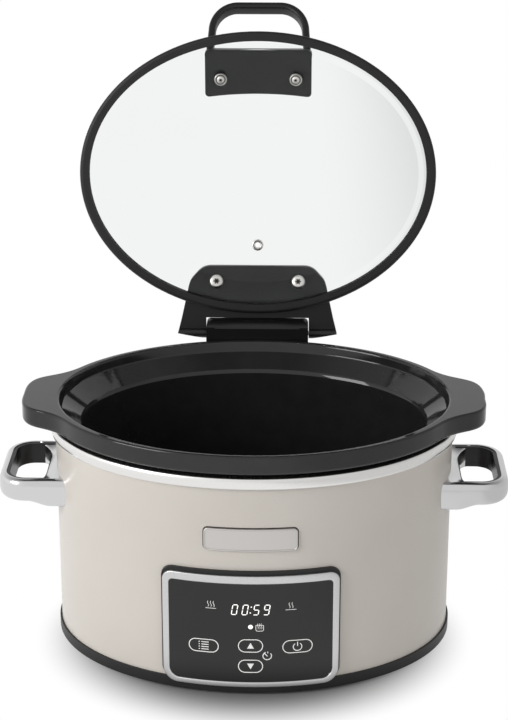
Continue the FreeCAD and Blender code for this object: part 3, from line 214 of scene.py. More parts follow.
litSegment = screenPrint("lit display segment", "F3F2ED", "F7F6F1", 0.7)

finishes = {
    enamel: ["housing_shell"],
    collarSteel: ["top_collar"],
    screwSteel: ["base_screws", "power_board_screws", "control_board_screws", "handle_screws",
                 "hinge_post_screws", "lid_handle_screws", "lid_handle_washers", "bracket_screws",
                 "steam_vent", "hinge_pin", "heater_straps", "well_standoffs"],
    wellMetal: ["heating_well"],
    badgeMetal: ["badge_plate"],
    chrome: ["left_handle_shell", "right_handle_shell"],
    blackAbs: ["panel_surround", "hinge_post", "lid_bracket", "lid_handle", "left_handle_liner",
               "right_handle_liner", "cord_gland"],
    trimAbs: ["base_tray"],
    bezelLacquer: ["panel_bezel"],
    acrylic: ["panel_fascia", "menu_key", "up_key", "down_key", "power_key"],
    glaze: ["crock"],
    glass: ["lid_glass"],
    silicone: ["lid_seal"],
    footRubber: ["rubber_feet"],
    lacquerBoard: ["power_board", "control_board"],
    blackPotting: ["relay", "capacitor", "key_switches", "display_module", "temperature_sensor",
                   "thermal_fuse"],
    ironCore: ["transformer"],
    micaWrap: ["heater_band"],
    cableSkin: ["ribbon_cable", "heater_leads"],
}
for material, names in finishes.items():
    for name in names:
        mesh = nodes[name].data
        mesh.materials.clear()
        mesh.materials.append(material)
print("finishes on", sum(len(names) for names in finishes.values()), "nodes")


# Meshes from grids of points

meshing = dict(join=1e-7, thin=1e-8, sharp=math.radians(50))


def gridFaces(rows, columns, closeRows, closeColumns, first):  # quads between neighbouring rows and columns
    row = np.arange(rows if closeRows else rows - 1)
    column = np.arange(columns if closeColumns else columns - 1)
    row, column = np.meshgrid(row, column, indexing="ij")
    nextRow, nextColumn = (row + 1) % rows, (column + 1) % columns
    corners = [row * columns + column, nextRow * columns + column, nextRow * columns + nextColumn,
               row * columns + nextColumn]
    return np.stack(corners, -1).reshape(-1, 4) + first


def meshPiece(name, grids, material, body, replaces=(), smooth=True):
    # grids: (points as rows x columns x 3, rows closed, columns closed, ends capped)
    points, faces, count = [], [], 0
    for grid, closeRows, closeColumns, capped in grids:
        rows, columns = grid.shape[:2]
        points.append(grid.reshape(-1, 3))
        faces += gridFaces(rows, columns, closeRows, closeColumns, count).tolist()
        if capped:
            faces.append((np.arange(columns) + count).tolist())
            faces.append((np.arange(columns) + count + (rows - 1) * columns).tolist())
        count += rows * columns
    mesh = bpy.data.meshes.new(name)
    mesh.from_pydata(np.concatenate(points).tolist(), [], faces)
    work = bmesh.new()
    work.from_mesh(mesh)
    bmesh.ops.remove_doubles(work, verts=work.verts, dist=meshing["join"])
    bmesh.ops.dissolve_degenerate(work, edges=work.edges, dist=meshing["thin"])
    bmesh.ops.recalc_face_normals(work, faces=work.faces)
    work.to_mesh(mesh)
    work.free()
    mesh.polygons.foreach_set("use_smooth", [smooth] * len(mesh.polygons))
    if smooth:
        mesh.set_sharp_from_angle(angle=meshing["sharp"])
    mesh.materials.append(material)
    piece = bpy.data.objects.new(name, mesh)
    bpy.context.scene.collection.objects.link(piece)
    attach(piece, body)
    if replaces:
        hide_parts(*replaces)


def circle(steps):  # angles once round, without the last one
    return np.linspace(0, 2 * math.pi, steps + 1)[:-1]


def smoothStep(share):  # rises from 0 to 1 with no kink at either end
    share = np.clip(share, 0, 1)
    return share * share * (3 - 2 * share)


def signedPower(value, power):  # a power of the size, with the sign kept: squares off a sine or cosine
    return np.sign(value) * np.abs(value) ** power


def frontPoint(x, z, out):  # a point on the front of the housing's oval, grown by the distance out
    y = -(housing["halfDepth"] + out) * np.sqrt(1 - (x / (housing["halfWidth"] + out)) ** 2)
    return np.stack([x, y, z + 0 * x], -1)


def refine(path, step, closed):  # points added along long runs, so that they follow the curved front
    ends = np.concatenate([path, path[:1]]) if closed else path
    parts = []
    for start, end in zip(ends[:-1], ends[1:]):
        count = max(1, int(math.ceil(np.linalg.norm(end - start) / step)))
        parts.append(start + (end - start) * (np.arange(count) / count)[:, None])
    if not closed:
        parts.append(path[-1:])
    return np.concatenate(parts)


def cornerArcs(box, radii, steps):  # the round corners of a rectangle, anticlockwise from the lower right
    left, right, bottom, top = box
    corners = [(right, bottom, -90), (right, top, 0), (left, top, 90), (left, bottom, 180)]
    turn = np.linspace(0, math.pi / 2, steps)
    arcs = []
    for (x, z, start), radius in zip(corners, radii):
        middleX = x - radius if x == right else x + radius
        middleZ = z - radius if z == top else z + radius
        angle = turn + math.radians(start)
        arcs.append(np.stack([middleX + radius * np.cos(angle), middleZ + radius * np.sin(angle)], -1))
    return arcs


def roundedLoop(box, radii):  # a rectangle with a round at each corner, its points at most 2 mm apart
    return refine(np.concatenate(cornerArcs(box, radii, 10)), 0.002, True)


def grown(box, by):  # a rectangle moved out on all its sides
    left, right, bottom, top = box
    return left - by, right + by, bottom - by, top + by


def sideways(path, closed):  # the way across a flat path at each of its points
    if closed:
        ahead, behind = np.roll(path, -1, 0), np.roll(path, 1, 0)
    else:
        ahead, behind = np.vstack([path[1:], path[-1:]]), np.vstack([path[:1], path[:-1]])
    run = ahead - behind
    run /= np.linalg.norm(run, axis=1, keepdims=True)
    return np.stack([-run[:, 1], run[:, 0]], -1)


# Control panel: bezel, prints and display

bezel = dict(outer=(-0.0599, 0.0599, 0.0074, 0.0910), outerRadii=(0.010, 0.007, 0.007, 0.010),
             inner=(-0.0554, 0.0554, 0.0113, 0.0852), innerRadii=(0.007, 0.003, 0.003, 0.007),
             lift=0.0002, rise=0.00162, squareness=0.4)


def evenLoop(box, radii):  # a rounded rectangle with as many points for any size
    arcs = cornerArcs(box, radii, 12)
    share = np.linspace(0, 1, 14)[:-1, None]
    runs = []
    for arc, after in zip(arcs, arcs[1:] + arcs[:1]):
        runs += [arc[:-1], arc[-1] + (after[0] - arc[-1]) * share]
    return np.concatenate(runs)


def buildBezel():
    # a band between an outer and an inner loop; its section is a low arch, half a superellipse
    angle = np.linspace(0, math.pi, 15)
    across = 0.5 - 0.5 * signedPower(np.cos(angle), bezel["squareness"])
    arch = np.sin(angle).clip(0) ** bezel["squareness"]
    outer = evenLoop(bezel["outer"], bezel["outerRadii"])
    inner = evenLoop(bezel["inner"], bezel["innerRadii"])
    flat = outer[:, None] + (inner - outer)[:, None] * across[None, :, None]
    out = housing["bezelSeat"] + bezel["lift"] + bezel["rise"] * arch
    band = frontPoint(flat[..., 0], flat[..., 1], np.broadcast_to(out, flat.shape[:2]))
    meshPiece("bezelFrame", [(band, True, True, False)], bezelLacquer, "base",
              ["panel_bezel"])


ink = dict(height=0.00006, line=0.0006, run=0.001)


def inkStroke(path, width, seat, closed=False):
    # a flat ribbon of ink: the path moved half a width to each side, from the seat out to the ink's height
    path = np.asarray(path, float)
    side = sideways(path, closed) * (np.broadcast_to(width, len(path))[:, None] / 2)
    low, high = seat - ink["height"] / 2, seat + ink["height"]
    edges = [(path + side, low), (path + side, high), (path - side, high), (path - side, low)]
    ribbon = np.stack([frontPoint(edge[:, 0], edge[:, 1], out) for edge, out in edges], 1)
    return ribbon, closed, True, not closed


def inkDot(x, z, radius, seat):  # a round dot: rings from its middle out and back underneath
    angle = circle(32)
    low, high = seat - ink["height"] / 2, seat + ink["height"]
    rings = [(0, high), (radius, high), (radius, low), (0, low)]
    rows = [frontPoint(x + reach * np.cos(angle), z + reach * np.sin(angle), out) for reach, out in rings]
    return np.stack(rows), False, True, False


def arcPath(x, z, radius, start, end):  # part of a circle, degrees anticlockwise from +X
    angle = np.radians(np.linspace(start, end, 28))
    return np.stack([x + radius * np.cos(angle), z + radius * np.sin(angle)], -1)


def wavePath(x, z, height, swing):  # one rising wisp of heat: a sine turned upright
    share = np.linspace(0, 1, 16)
    return np.stack([x + swing * np.sin(2 * math.pi * share), z + height * share], -1)


def levelPath(x, z, start, end):  # a level line past a spot, in short runs
    return refine(np.array([(x + start, z), (x + end, z)]), ink["run"], False)


# an arc is its lift, radius and two angles; rows and lines are measured from the middle of the key
keyPrints = dict(height=0.010, wide=0.0205, narrow=0.017, flat=0.0001,
                 menuRows=(0.0027, 0.0009, -0.0009, -0.0027), menuBullet=(-0.0034, -0.0026),
                 menuLine=(-0.0016, 0.0034), arrowFoot=0.0020, arrowTip=0.0022,
                 arrowWidth=(0.0046, 0.0001), powerArc=(-0.0003, 0.0029, 125, 415),
                 powerStem=(0.0002, 0.0034))


def keyMiddle(body):  # a print sits at the middle of its key
    low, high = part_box(body)
    return (low[0] + high[0]) / 2, (low[2] + high[2]) / 2


def keyRing(body, width):  # the outline printed round a key's edge
    x, z = keyMiddle(body)
    half = width / 2 - ink["line"] / 2
    tall = keyPrints["height"] / 2 - ink["line"] / 2
    loop = roundedLoop((x - half, x + half, z - tall, z + tall), [tall - keyPrints["flat"]] * 4)
    return inkStroke(loop, ink["line"], housing["keyCap"], True)


def buildKeyPrints():  # a list, two arrows and a power sign, each of strokes inside a ring
    seat, line = housing["keyCap"], ink["line"]
    x, z = keyMiddle("menu_key")
    marks = [keyRing("menu_key", keyPrints["wide"])]
    for lift in keyPrints["menuRows"]:
        for ends in (keyPrints["menuBullet"], keyPrints["menuLine"]):
            marks.append(inkStroke(levelPath(x, z + lift, *ends), line, seat))
    meshPiece("menuPrint", marks, whitePrintPaintedGlow, "menu_key", smooth=False)

    for name, body, sign in (("upPrint", "up_key", 1), ("downPrint", "down_key", -1)):
        x, z = keyMiddle(body)
        ends = [(x, z - sign * keyPrints["arrowFoot"]), (x, z + sign * keyPrints["arrowTip"])]
        arrow = inkStroke(ends, np.array(keyPrints["arrowWidth"]), seat)
        marks = [keyRing(body, keyPrints["narrow"]), arrow]
        meshPiece(name, marks, whitePrintPaintedGlow, body, smooth=False)

    x, z = keyMiddle("power_key")
    lift, *arc = keyPrints["powerArc"]
    low, high = keyPrints["powerStem"]
    marks = [keyRing("power_key", keyPrints["wide"]), inkStroke(arcPath(x, z + lift, *arc), line, seat),
             inkStroke([(x, z + low), (x, z + high)], line, seat)]
    meshPiece("powerPrint", marks, whitePrintPaintedGlow, "power_key", smooth=False)


# places on the fascia are (x, z); the rest are sizes of the signs and distances from those places
fasciaPrints = dict(clock=(0.0113, 0.0316), clockArc=(-0.0002, 0.0029, 110, 400),
                    clockHand=((-0.0019, 0.0018), (0.0002, -0.0004)),
                    clockTick=((0.0004, 0.0019), (0.0004, 0.0030)),
                    heat=(((-0.0267, 0.0664), (-0.0019, 0.0, 0.0019)),
                          ((0.0272, 0.0658), (-0.0010, 0.0010))),
                    heatHalf=0.0036, heatLift=0.0011, heatRise=0.0042, heatSwing=0.0004, heatLine=0.00034,
                    pot=(0.0062, 0.0530), potBox=(0.0026, 0.0027, 0.0017), potLine=0.0004,
                    potRadii=(0.0013, 0.0005, 0.0005, 0.0013), steam=(-0.0012, 0.0, 0.0012),
                    steamDrop=0.0012, steamRise=0.0042, steamSwing=0.0003, steamLine=0.0003)


def buildFasciaPrints():  # a clock, high and low heat and a pot, drawn with the same strokes
    seat, line = housing["fascia"], ink["line"]
    x, z = fasciaPrints["clock"]
    lift, *arc = fasciaPrints["clockArc"]
    marks = [inkStroke(arcPath(x, z + lift, *arc), line, seat)]
    for part in ("clockHand", "clockTick"):
        marks.append(inkStroke(np.array(fasciaPrints[part]) + (x, z), line, seat))

    width, half = fasciaPrints["heatLine"], fasciaPrints["heatHalf"]
    for (x, z), wisps in fasciaPrints["heat"]:
        marks.append(inkStroke(levelPath(x, z, -half, half), width, seat))
        for shift in wisps:
            wisp = wavePath(x + shift, z + fasciaPrints["heatLift"], fasciaPrints["heatRise"],
                            fasciaPrints["heatSwing"])
            marks.append(inkStroke(wisp, width, seat))

    x, z = fasciaPrints["pot"]
    half, below, above = fasciaPrints["potBox"]
    pot = roundedLoop((x - half, x + half, z - below, z + above), fasciaPrints["potRadii"])
    marks.append(inkStroke(pot, fasciaPrints["potLine"], seat, True))
    for shift in fasciaPrints["steam"]:
        wisp = wavePath(x + shift, z - fasciaPrints["steamDrop"], fasciaPrints["steamRise"],
                        fasciaPrints["steamSwing"])
        marks.append(inkStroke(wisp, fasciaPrints["steamLine"], seat))
    meshPiece("fasciaPrints", marks, whitePrintPaintedGlow, "base", smooth=False)


display = dict(digits=(-0.0107, -0.0036, 0.0040, 0.0110), shapes=("abcdef", "abcdef", "acdfg", "abcdfg"),
               middle=0.0662, height=0.0073, width=0.0034, slant=0.17, gap=0.00035, stroke=0.0006,
               colon=0.0002, colonLift=0.0022, colonDot=0.00045, lamp=(0.0, 0.0534), lampDot=0.0016)


def buildDisplay():
    # seven bars for each digit, leaning to the right: a to f go round from the top, g is the middle one
    seat = housing["fascia"]
    half, tall, gap = display["width"] / 2, display["height"] / 2, display["gap"]
    bars = {"a": [(-half + gap, tall), (half - gap, tall)], "b": [(half, tall - gap), (half, gap)],
            "c": [(half, -gap), (half, gap - tall)], "d": [(half - gap, -tall), (gap - half, -tall)],
            "e": [(-half, gap - tall), (-half, -gap)], "f": [(-half, gap), (-half, tall - gap)],
            "g": [(gap - half, 0.0), (half - gap, 0.0)]}
    lit = []
    for middle, shape in zip(display["digits"], display["shapes"]):
        for bar in shape:
            ends = np.array(bars[bar])
            ends[:, 0] += middle + display["slant"] * ends[:, 1]
            ends[:, 1] += display["middle"]
            lit.append(inkStroke(ends, display["stroke"], seat))
    for lift in (display["colonLift"], -display["colonLift"]):
        x = display["colon"] + display["slant"] * lift
        lit.append(inkDot(x, display["middle"] + lift, display["colonDot"], seat))
    lit.append(inkDot(*display["lamp"], display["lampDot"], seat))
    meshPiece("displayDigits", lit, litSegment, "base", smooth=False)


# seam is the width of the dark band round the plate, a painted shadow
badge = dict(box=(-0.0315, 0.0315, 0.1084, 0.1246), radius=0.003, band=0.0011, rise=0.0005, shadowGap=0.0006)


def buildBadgeRim():
    # a raised bead round the blank plate: a flat oval carried round a rounded loop, half sunk in the plate
    inset = badge["band"] / 2
    path = roundedLoop(grown(badge["box"], -inset), [badge["radius"] - inset] * 4)
    angle = circle(12)
    flat = path[:, None] + sideways(path, True)[:, None] * (inset * np.cos(angle))[None, :, None]
    out = housing["badgeTop"] + badge["rise"] * np.sin(angle)
    bead = frontPoint(flat[..., 0], flat[..., 1], np.broadcast_to(out, flat.shape[:2]))
    meshPiece("badgeRim", [(bead, True, True, False)], badgeMetal, "base")

    # painted shadow: a thin dark band round the plate where it meets the paint, in place of the shade in
    # that gap
    outset = badge["shadowGap"] / 2
    shadowGap = roundedLoop(grown(badge["box"], outset), [badge["radius"] + outset] * 4)
    meshPiece("badgeShadowGap", [inkStroke(shadowGap, badge["shadowGap"], 0.0, True)], blackAbs, "base",
              smooth=False)


buildBezel()
buildKeyPrints()
buildFasciaPrints()
buildDisplay()
buildBadgeRim()
print("panel built")


# Collar under the rim

collar = dict(low=0.1531, top=0.1616, step=0.0010, bulge=0.0024, lip=-0.0040, wall=0.0010, outPower=0.7,
              upPower=0.8, paintLow=0.1515, paintSkin=0.0010)


def ovalBand(out, z):  # a closed section carried round the housing's oval
    angle = circle(240)
    x = (housing["halfWidth"] + out)[:, None] * np.cos(angle)
    y = (housing["halfDepth"] + out)[:, None] * np.sin(angle)
    return np.stack([x, y, np.broadcast_to(z[:, None], x.shape)], -1), True, True, False


def buildCollar():
    # a half oval bulging out of the housing, rolled in to a flat lip on top
    low, top, lip, under = collar["low"], collar["top"], collar["lip"], collar["top"] - collar["wall"]
    lift = np.linspace(-math.pi / 2, math.pi / 2, 22)
    tall = (top - low) / 2
    bulge = collar["step"] + collar["bulge"] * np.cos(lift).clip(0) ** collar["outPower"]
    climb = low + tall + tall * signedPower(np.sin(lift), collar["upPower"])
    out = np.concatenate([bulge, [lip, lip, 0.0, 0.0]])
    z = np.concatenate([climb, [top, under, under, low]])
    meshPiece("collarBand", [ovalBand(out, z)], collarSteel, "base", ["top_collar"])

    # the painted edge of the housing just below the band
    skin, paintLow = collar["paintSkin"], collar["paintLow"]
    edge = ovalBand(np.array([0.0, 0.0, -skin, -skin]), np.array([paintLow, low, low, paintLow]))
    meshPiece("housingTopEdge", [edge], enamel, "base", smooth=False)


buildCollar()
print("collar built")


# Side handles

handle = dict(reach=0.1793, halfWidth=0.0385, corner=0.020, bottom=0.1100, top=0.1265, wall=0.0052,
              start=0.1270, flareFrom=0.1580, flareTo=0.1420, flareDrop=0.0040, squareness=0.7, back=0.4)
web = dict(edge=0.1463, inside=0.0333, root=0.002, below=0.0003, drop=0.0036, dishPower=1.4, scoop=0.010,
           sidePower=6, lip=((0.0003, -0.0004), (0.0004, -0.0014)), foot=0.0004)


def handleBand():
    # a half superellipse carried along a U with two round corners, and deeper near the housing
    offset = handle["halfWidth"] - handle["corner"]
    far = handle["reach"] - handle["corner"]
    quarter = math.pi / 2
    turn = np.linspace(0, quarter, 20)
    out = np.linspace(handle["start"], far, 26)[:-1]
    across = np.linspace(-offset, offset, 10)[1:-1]
    leg, bend, bar = 0 * out, 0 * turn, 0 * across
    angle = np.concatenate([leg - quarter, turn - quarter, bar, turn, leg + quarter])
    middleX = np.concatenate([out, bend + far, bar + far, bend + far, out[::-1]])
    middleY = np.concatenate([leg - offset, bend - offset, across, bend + offset, leg + offset])
    lift = np.linspace(quarter, -quarter, 21)
    bulge = np.concatenate([np.cos(lift).clip(0) ** handle["squareness"], [0, 0]])
    back = handle["back"]
    height = np.concatenate([signedPower(np.sin(lift), handle["squareness"]), [-back, back]])
    near = (handle["flareFrom"] - middleX) / (handle["flareFrom"] - handle["flareTo"])
    low = handle["bottom"] - handle["flareDrop"] * smoothStep(near)
    radius = handle["corner"] - handle["wall"] * (1 - bulge)
    x = middleX[:, None] + np.cos(angle)[:, None] * radius
    y = middleY[:, None] + np.sin(angle)[:, None] * radius
    z = (handle["top"] + low)[:, None] / 2 + (handle["top"] - low)[:, None] / 2 * height
    return x, y, z


def handleWeb():
    # from the housing out to the root end of the hole: dished, and running out along the two legs
    y = np.linspace(-web["inside"], web["inside"], 45)[:, None]
    side = (np.abs(y) / web["inside"]) ** web["sidePower"]
    back = housing["halfWidth"] * np.sqrt(1 - (y / housing["halfDepth"]) ** 2) - web["root"]
    edge = web["edge"] + web["scoop"] * side
    step = np.linspace(0, 1, 12)
    top = handle["top"] - web["below"] - web["drop"] * step ** web["dishPower"] * (1 - side)
    lipX, lipZ = np.array(web["lip"]).T
    foot = 0 * y + handle["bottom"] + web["foot"]
    x = np.concatenate([back + (edge - back) * step, edge + lipX, edge + lipX[-1], back], 1)
    z = np.concatenate([top, top[:, -1:] + lipZ, foot, foot], 1)
    return x, np.broadcast_to(y, x.shape), z


def buildHandle(name, side):  # the right handle, or its mirror image
    grids = [(np.stack([side * x, y, z], -1), False, True, True) for x, y, z in (handleBand(), handleWeb())]
    meshPiece(name + "HandleBand", grids, chrome, "base", [name + "_handle_shell"])


buildHandle("right", 1)
buildHandle("left", -1)
print("handles built")


# Screws, washers and vent of the open lid

lidDome = dict(wide=0.1484, deep=0.1143, tall=0.0320, middleY=0.0006, middleZ=0.1517, bedding=0.00015)


def swung(points):  # points of the closed lid, turned back about the hinge to where the frame has it
    cosine, sine = math.cos(hinge["openAngle"]), math.sin(hinge["openAngle"])
    pivot = np.array([0.0, hinge["y"], hinge["z"]])
    return pivot + (points - pivot) @ np.array([[1, 0, 0], [0, cosine, -sine], [0, sine, cosine]])


def lidSpot(x, y):
    # a spot on the inner dome of the closed lid and the way out of it, both swung back about the hinge
    across = (y - lidDome["middleY"]) / lidDome["deep"]
    up = lidDome["tall"] * math.sqrt(1 - (x / lidDome["wide"]) ** 2 - across ** 2)
    way = -np.array([x / lidDome["wide"] ** 2, across / lidDome["deep"], up / lidDome["tall"] ** 2])
    spot = np.array([x, y, lidDome["middleZ"] + up])
    return swung(spot), swung(spot + way / np.linalg.norm(way)) - swung(spot)


def turned(spot, way, radius, height):
    # rings about an axis: radius and height are rows x columns, the columns being angles round the axis
    side = np.cross(way, [0.0, 0.0, 1.0])
    side /= np.linalg.norm(side)
    up = np.cross(side, way)
    angle = circle(radius.shape[1])
    return (spot + radius[..., None] * (np.cos(angle)[:, None] * side + np.sin(angle)[:, None] * up)
            + height[..., None] * way)


def turnedLoop(spot, way, section):  # a closed section of (radius, height) carried round the axis
    section = np.array(section)
    around = np.ones(64)
    return turned(spot, way, section[:, :1] * around, section[:, 1:] * around), True, True, False


def archSection(inner, outer, seat, rise, steps):  # a half oval standing on its seat between two radii
    lift = np.linspace(0, math.pi, steps)
    radius = (inner + outer) / 2 - (outer - inner) / 2 * np.cos(lift)
    return np.stack([radius, seat + rise * np.sin(lift)], -1)


# star sizes are shares of a head's radius, depths and levels shares of its height
screwHead = dict(steps=96, rings=40, star=0.36, starSwing=0.10, starArms=6, starEdge=0.06, starDepth=0.7,
                 domePower=5, sink=0.0004, floorTop=0.5, floorLow=0.3)


def starEdge(angle):  # the star's edge is a cosine of the angle with so many arms
    return screwHead["star"] + screwHead["starSwing"] * np.cos(screwHead["starArms"] * angle)


def panHead(spot, way, radius, height, seat):  # a flat dome with a star pressed into it
    angle = circle(screwHead["steps"])
    level = 0 * angle
    share = np.linspace(0, 1, screwHead["rings"])[:, None]
    dome = height * (1 - share ** screwHead["domePower"]) ** 0.5
    pressed = smoothStep((starEdge(angle) - share) / screwHead["starEdge"])
    top = dome - height * screwHead["starDepth"] * pressed
    rings = np.concatenate([share * radius + level, [level + radius, level]])
    heights = np.concatenate([top, [level - screwHead["sink"], level - screwHead["sink"]]])
    return turned(spot, way, rings, heights + seat), False, True, False


def starFloor(spot, way, radius, height, seat):  # a dark piece sunk in the star pressed into a head: painted shade for the hollow
    angle = circle(screwHead["steps"])
    level = 0 * angle
    star = starEdge(angle) * radius
    rings = np.stack([level, star, star, level])
    heights = np.stack([level + screwHead[end] for end in ("floorTop", "floorTop", "floorLow", "floorLow")])
    return turned(spot, way, rings, heights * height + seat), False, True, False


# spots are (x, y) on the closed lid
bracketScrew = dict(spot=(0.0308, 0.0817), radius=0.0052, height=0.0024)
gripScrew = dict(spot=(0.0278, -0.0691), radius=0.0031, height=0.0018)
washer = dict(hole=0.0020, inner=0.0035, radius=0.00475, height=0.0008)
vent = dict(spot=(0.0, 0.0548), bore=0.0020, radius=0.0034, flange=0.0043, depth=0.0048, roll=0.0009,
            shadeRingHalf=0.0003, shadeRingLow=0.0006, shadeRingTop=0.00098)


def buildLidHardware():
    bed = lidDome["bedding"]
    heads, caps, rings, shades = [], [], [], []
    for side in (-1, 1):
        for screw, seat, pieces in ((bracketScrew, bed, heads), (gripScrew, bed + washer["height"], caps)):
            x, y = screw["spot"]
            spot, way = lidSpot(side * x, y)
            pieces.append(panHead(spot, way, screw["radius"], screw["height"], seat))
            shades.append(starFloor(spot, way, screw["radius"], screw["height"], seat))

        # cup washer under the handle's screw: a half oval bead round a flat floor, the floor a dark ring of
        # painted shade
        hole, inner, floor = washer["hole"], washer["inner"], bed + washer["height"] / 2
        bead = archSection(inner, washer["radius"], bed, 2 * washer["height"], 12)
        rings.append(turnedLoop(spot, way, bead))
        shades.append(turnedLoop(spot, way, [(hole, bed), (hole, floor), (inner, floor), (inner, bed)]))
    meshPiece("bracketScrewHeads", heads, screwSteel, "lid", ["bracket_screws"])
    meshPiece("handleScrewHeads", caps, screwSteel, "lid", ["lid_handle_screws"])
    meshPiece("handleWashers", rings, screwSteel, "lid", ["lid_handle_washers"])

    # eyelet: a rolled flange, a half oval in section, on a tube through the glass; a dark ring round the
    # flange's middle is painted shade standing for a groove
    spot, way = lidSpot(*vent["spot"])
    bore, tube, depth = vent["bore"], vent["radius"], vent["depth"]
    middle = (bore + vent["flange"]) / 2
    near, far = middle - vent["shadeRingHalf"], middle + vent["shadeRingHalf"]
    low, top = bed + vent["shadeRingLow"], bed + vent["shadeRingTop"]
    # the dark ring standing up through the flange: painted shade for its groove
    shades.append(turnedLoop(spot, way, [(near, low), (near, top), (far, top), (far, low)]))
    # all the dark pieces in one: painted shade in the star hollows, under the washers and in the eyelet's
    # groove
    meshPiece("paintedSocketShade", shades, socketShadePaint, "lid", smooth=False)
    rolled = archSection(bore, vent["flange"], bed, vent["roll"], 14)
    section = np.concatenate([rolled, [(tube, bed), (tube, -depth), (bore, -depth)]])
    meshPiece("ventEyelet", [turnedLoop(spot, way, section)], screwSteel, "lid",
              ["steam_vent"])


buildLidHardware()
print("lid hardware built")


# Lid handle

grip = dict(dome=(0.16042, 0.12479, 0.0360), baseHalf=0.0395, baseFront=-0.0908, baseBack=0.0588,
            oval=0.1324, baseTop=0.1870, baseCorner=0.0035, baseEdge=0.0012, rootY=-0.0820, rootZ=0.1830,
            lean=math.radians(40), legFoot=0.0366, legTop=0.0349, start=0.0005, far=0.04925,
            cornerWide=0.019, cornerTall=0.023, bar=0.0055, depth=0.0100, squareness=0.5)


def gripBase():
    # for each x a closed section from the glass dome up to the flat top; its back edge follows an oval
    half, corner, edge = grip["baseHalf"], grip["baseCorner"], grip["baseEdge"]
    x = half * np.sin(np.linspace(-math.pi / 2, math.pi / 2, 41))[:, None]
    past = (np.abs(x) - half + corner).clip(0)
    inset = corner - np.sqrt((corner ** 2 - past ** 2).clip(0))
    front = grip["baseFront"] + inset
    back = lidDome["middleY"] - grip["baseBack"] * np.sqrt(1 - (x / grip["oval"]) ** 2) - inset
    y = front + (back - front) * np.linspace(0, 1, 14)
    wide, deep, tall = grip["dome"]
    dome = np.sqrt(1 - (x / wide) ** 2 - ((y - lidDome["middleY"]) / deep) ** 2)
    z = lidDome["middleZ"] + tall * dome + lidDome["bedding"]
    top = 0 * front + grip["baseTop"]
    y = np.concatenate([y, back, back - edge, front + edge, front], 1)
    z = np.concatenate([z, top - edge, top, top, top - edge], 1)
    return np.stack([np.broadcast_to(x, y.shape), y, z], -1)


def gripLoop():
    # a squarish section carried along two legs, two oval corners and the bar between, leaning forward
    turn = np.linspace(0, math.pi / 2, 22)
    straight = grip["far"] - grip["cornerTall"]
    rise = np.linspace(grip["start"], straight, 12)[:-1]
    leg = grip["legFoot"] + (grip["legTop"] - grip["legFoot"]) * rise / straight
    inner = grip["legTop"] - grip["cornerWide"]
    bend = inner + grip["cornerWide"] * np.cos(turn)
    across = np.linspace(inner, -inner, 12)[1:-1]
    climb = straight + grip["cornerTall"] * np.sin(turn)
    pathX = np.concatenate([leg, bend, across, -bend[::-1], -leg[::-1]])
    pathUp = np.concatenate([rise, climb, across * 0 + grip["far"], climb[::-1], rise[::-1]])
    run = np.stack([np.gradient(pathX), np.gradient(pathUp)])
    run /= np.linalg.norm(run, axis=0)
    angle = circle(32)
    thick = grip["bar"] / 2 * signedPower(np.cos(angle), grip["squareness"])
    broad = grip["depth"] / 2 * signedPower(np.sin(angle), grip["squareness"])
    x = pathX[:, None] - run[1][:, None] * thick
    along = pathUp[:, None] + run[0][:, None] * thick
    cosine, sine = math.cos(grip["lean"]), math.sin(grip["lean"])
    y = grip["rootY"] - cosine * along - sine * broad
    z = grip["rootZ"] + sine * along - cosine * broad
    return np.stack([x, y, z], -1)


def buildLidHandle():
    grids = [(swung(points), False, True, True) for points in (gripBase(), gripLoop())]
    meshPiece("lidHandleGrip", grids, gripAbs, "lid", ["lid_handle"])


buildLidHandle()
print("lid handle built")


# Crown on the hinge post

crown = dict(seat=0.01145, rise=0.00040, inside=0.0108, flat=0.014, end=0.032, turn=math.radians(90),
             turnFlat=math.radians(25), turnEnd=math.radians(55))


def buildHingeCrown():
    # a low swelling on the round top of the post: the rise falls off smoothly along the pin and round it
    x = np.linspace(-crown["end"], crown["end"], 65)
    angle = np.linspace(crown["turn"] - crown["turnEnd"], crown["turn"] + crown["turnEnd"], 41)
    along = 1 - smoothStep((np.abs(x) - crown["flat"]) / (crown["end"] - crown["flat"]))
    off = np.abs(angle - crown["turn"])
    around = 1 - smoothStep((off - crown["turnFlat"]) / (crown["turnEnd"] - crown["turnFlat"]))
    outer = crown["seat"] + crown["rise"] * along[:, None] * around
    radius = np.concatenate([outer, 0 * outer + crown["inside"]], 1)
    sweep = np.concatenate([angle, angle[::-1]])
    y = hinge["y"] + radius * np.cos(sweep)
    z = hinge["z"] + radius * np.sin(sweep)
    section = np.stack([np.broadcast_to(x[:, None], y.shape), y, z], -1)
    meshPiece("hingeCrown", [(section, False, True, True)], blackAbs, "base")


buildHingeCrown()
print("hinge crown built")


# Floor, light and camera

def lightPath(tree):  # 1 for rays from the camera or through glass, and 1 for rays off gloss
    path = addNode(tree, "ShaderNodeLightPath").outputs
    seen = addNode(tree, "ShaderNodeMath", dict(operation="MAXIMUM"),
                   {0: path["Is Camera Ray"], 1: path["Is Transmission Ray"]})
    return seen.outputs[0], path["Is Glossy Ray"]


# a contact shadow is painted on the floor: an oval moved forward, where the shadow falls, that clears in
# shares of that oval; the fall is along X
softSpan = dict(interpolation_type="SMOOTHSTEP")
# the paper is E8E8E8 to light bounced off it and 8C8C8C to camera and gloss: the darker colour is painted
# shade
floorLook = dict(half=6, lit="E8E8E8", seen="8C8C8C", shadeMiddle=(0.0, -0.020), shadeSize=(0.127, 0.115),
                 clear={**softSpan, "From Min": 0.78, "From Max": 1.256},
                 fall={**softSpan, "From Min": 0.05, "From Max": 0.30, "To Max": 0.28})


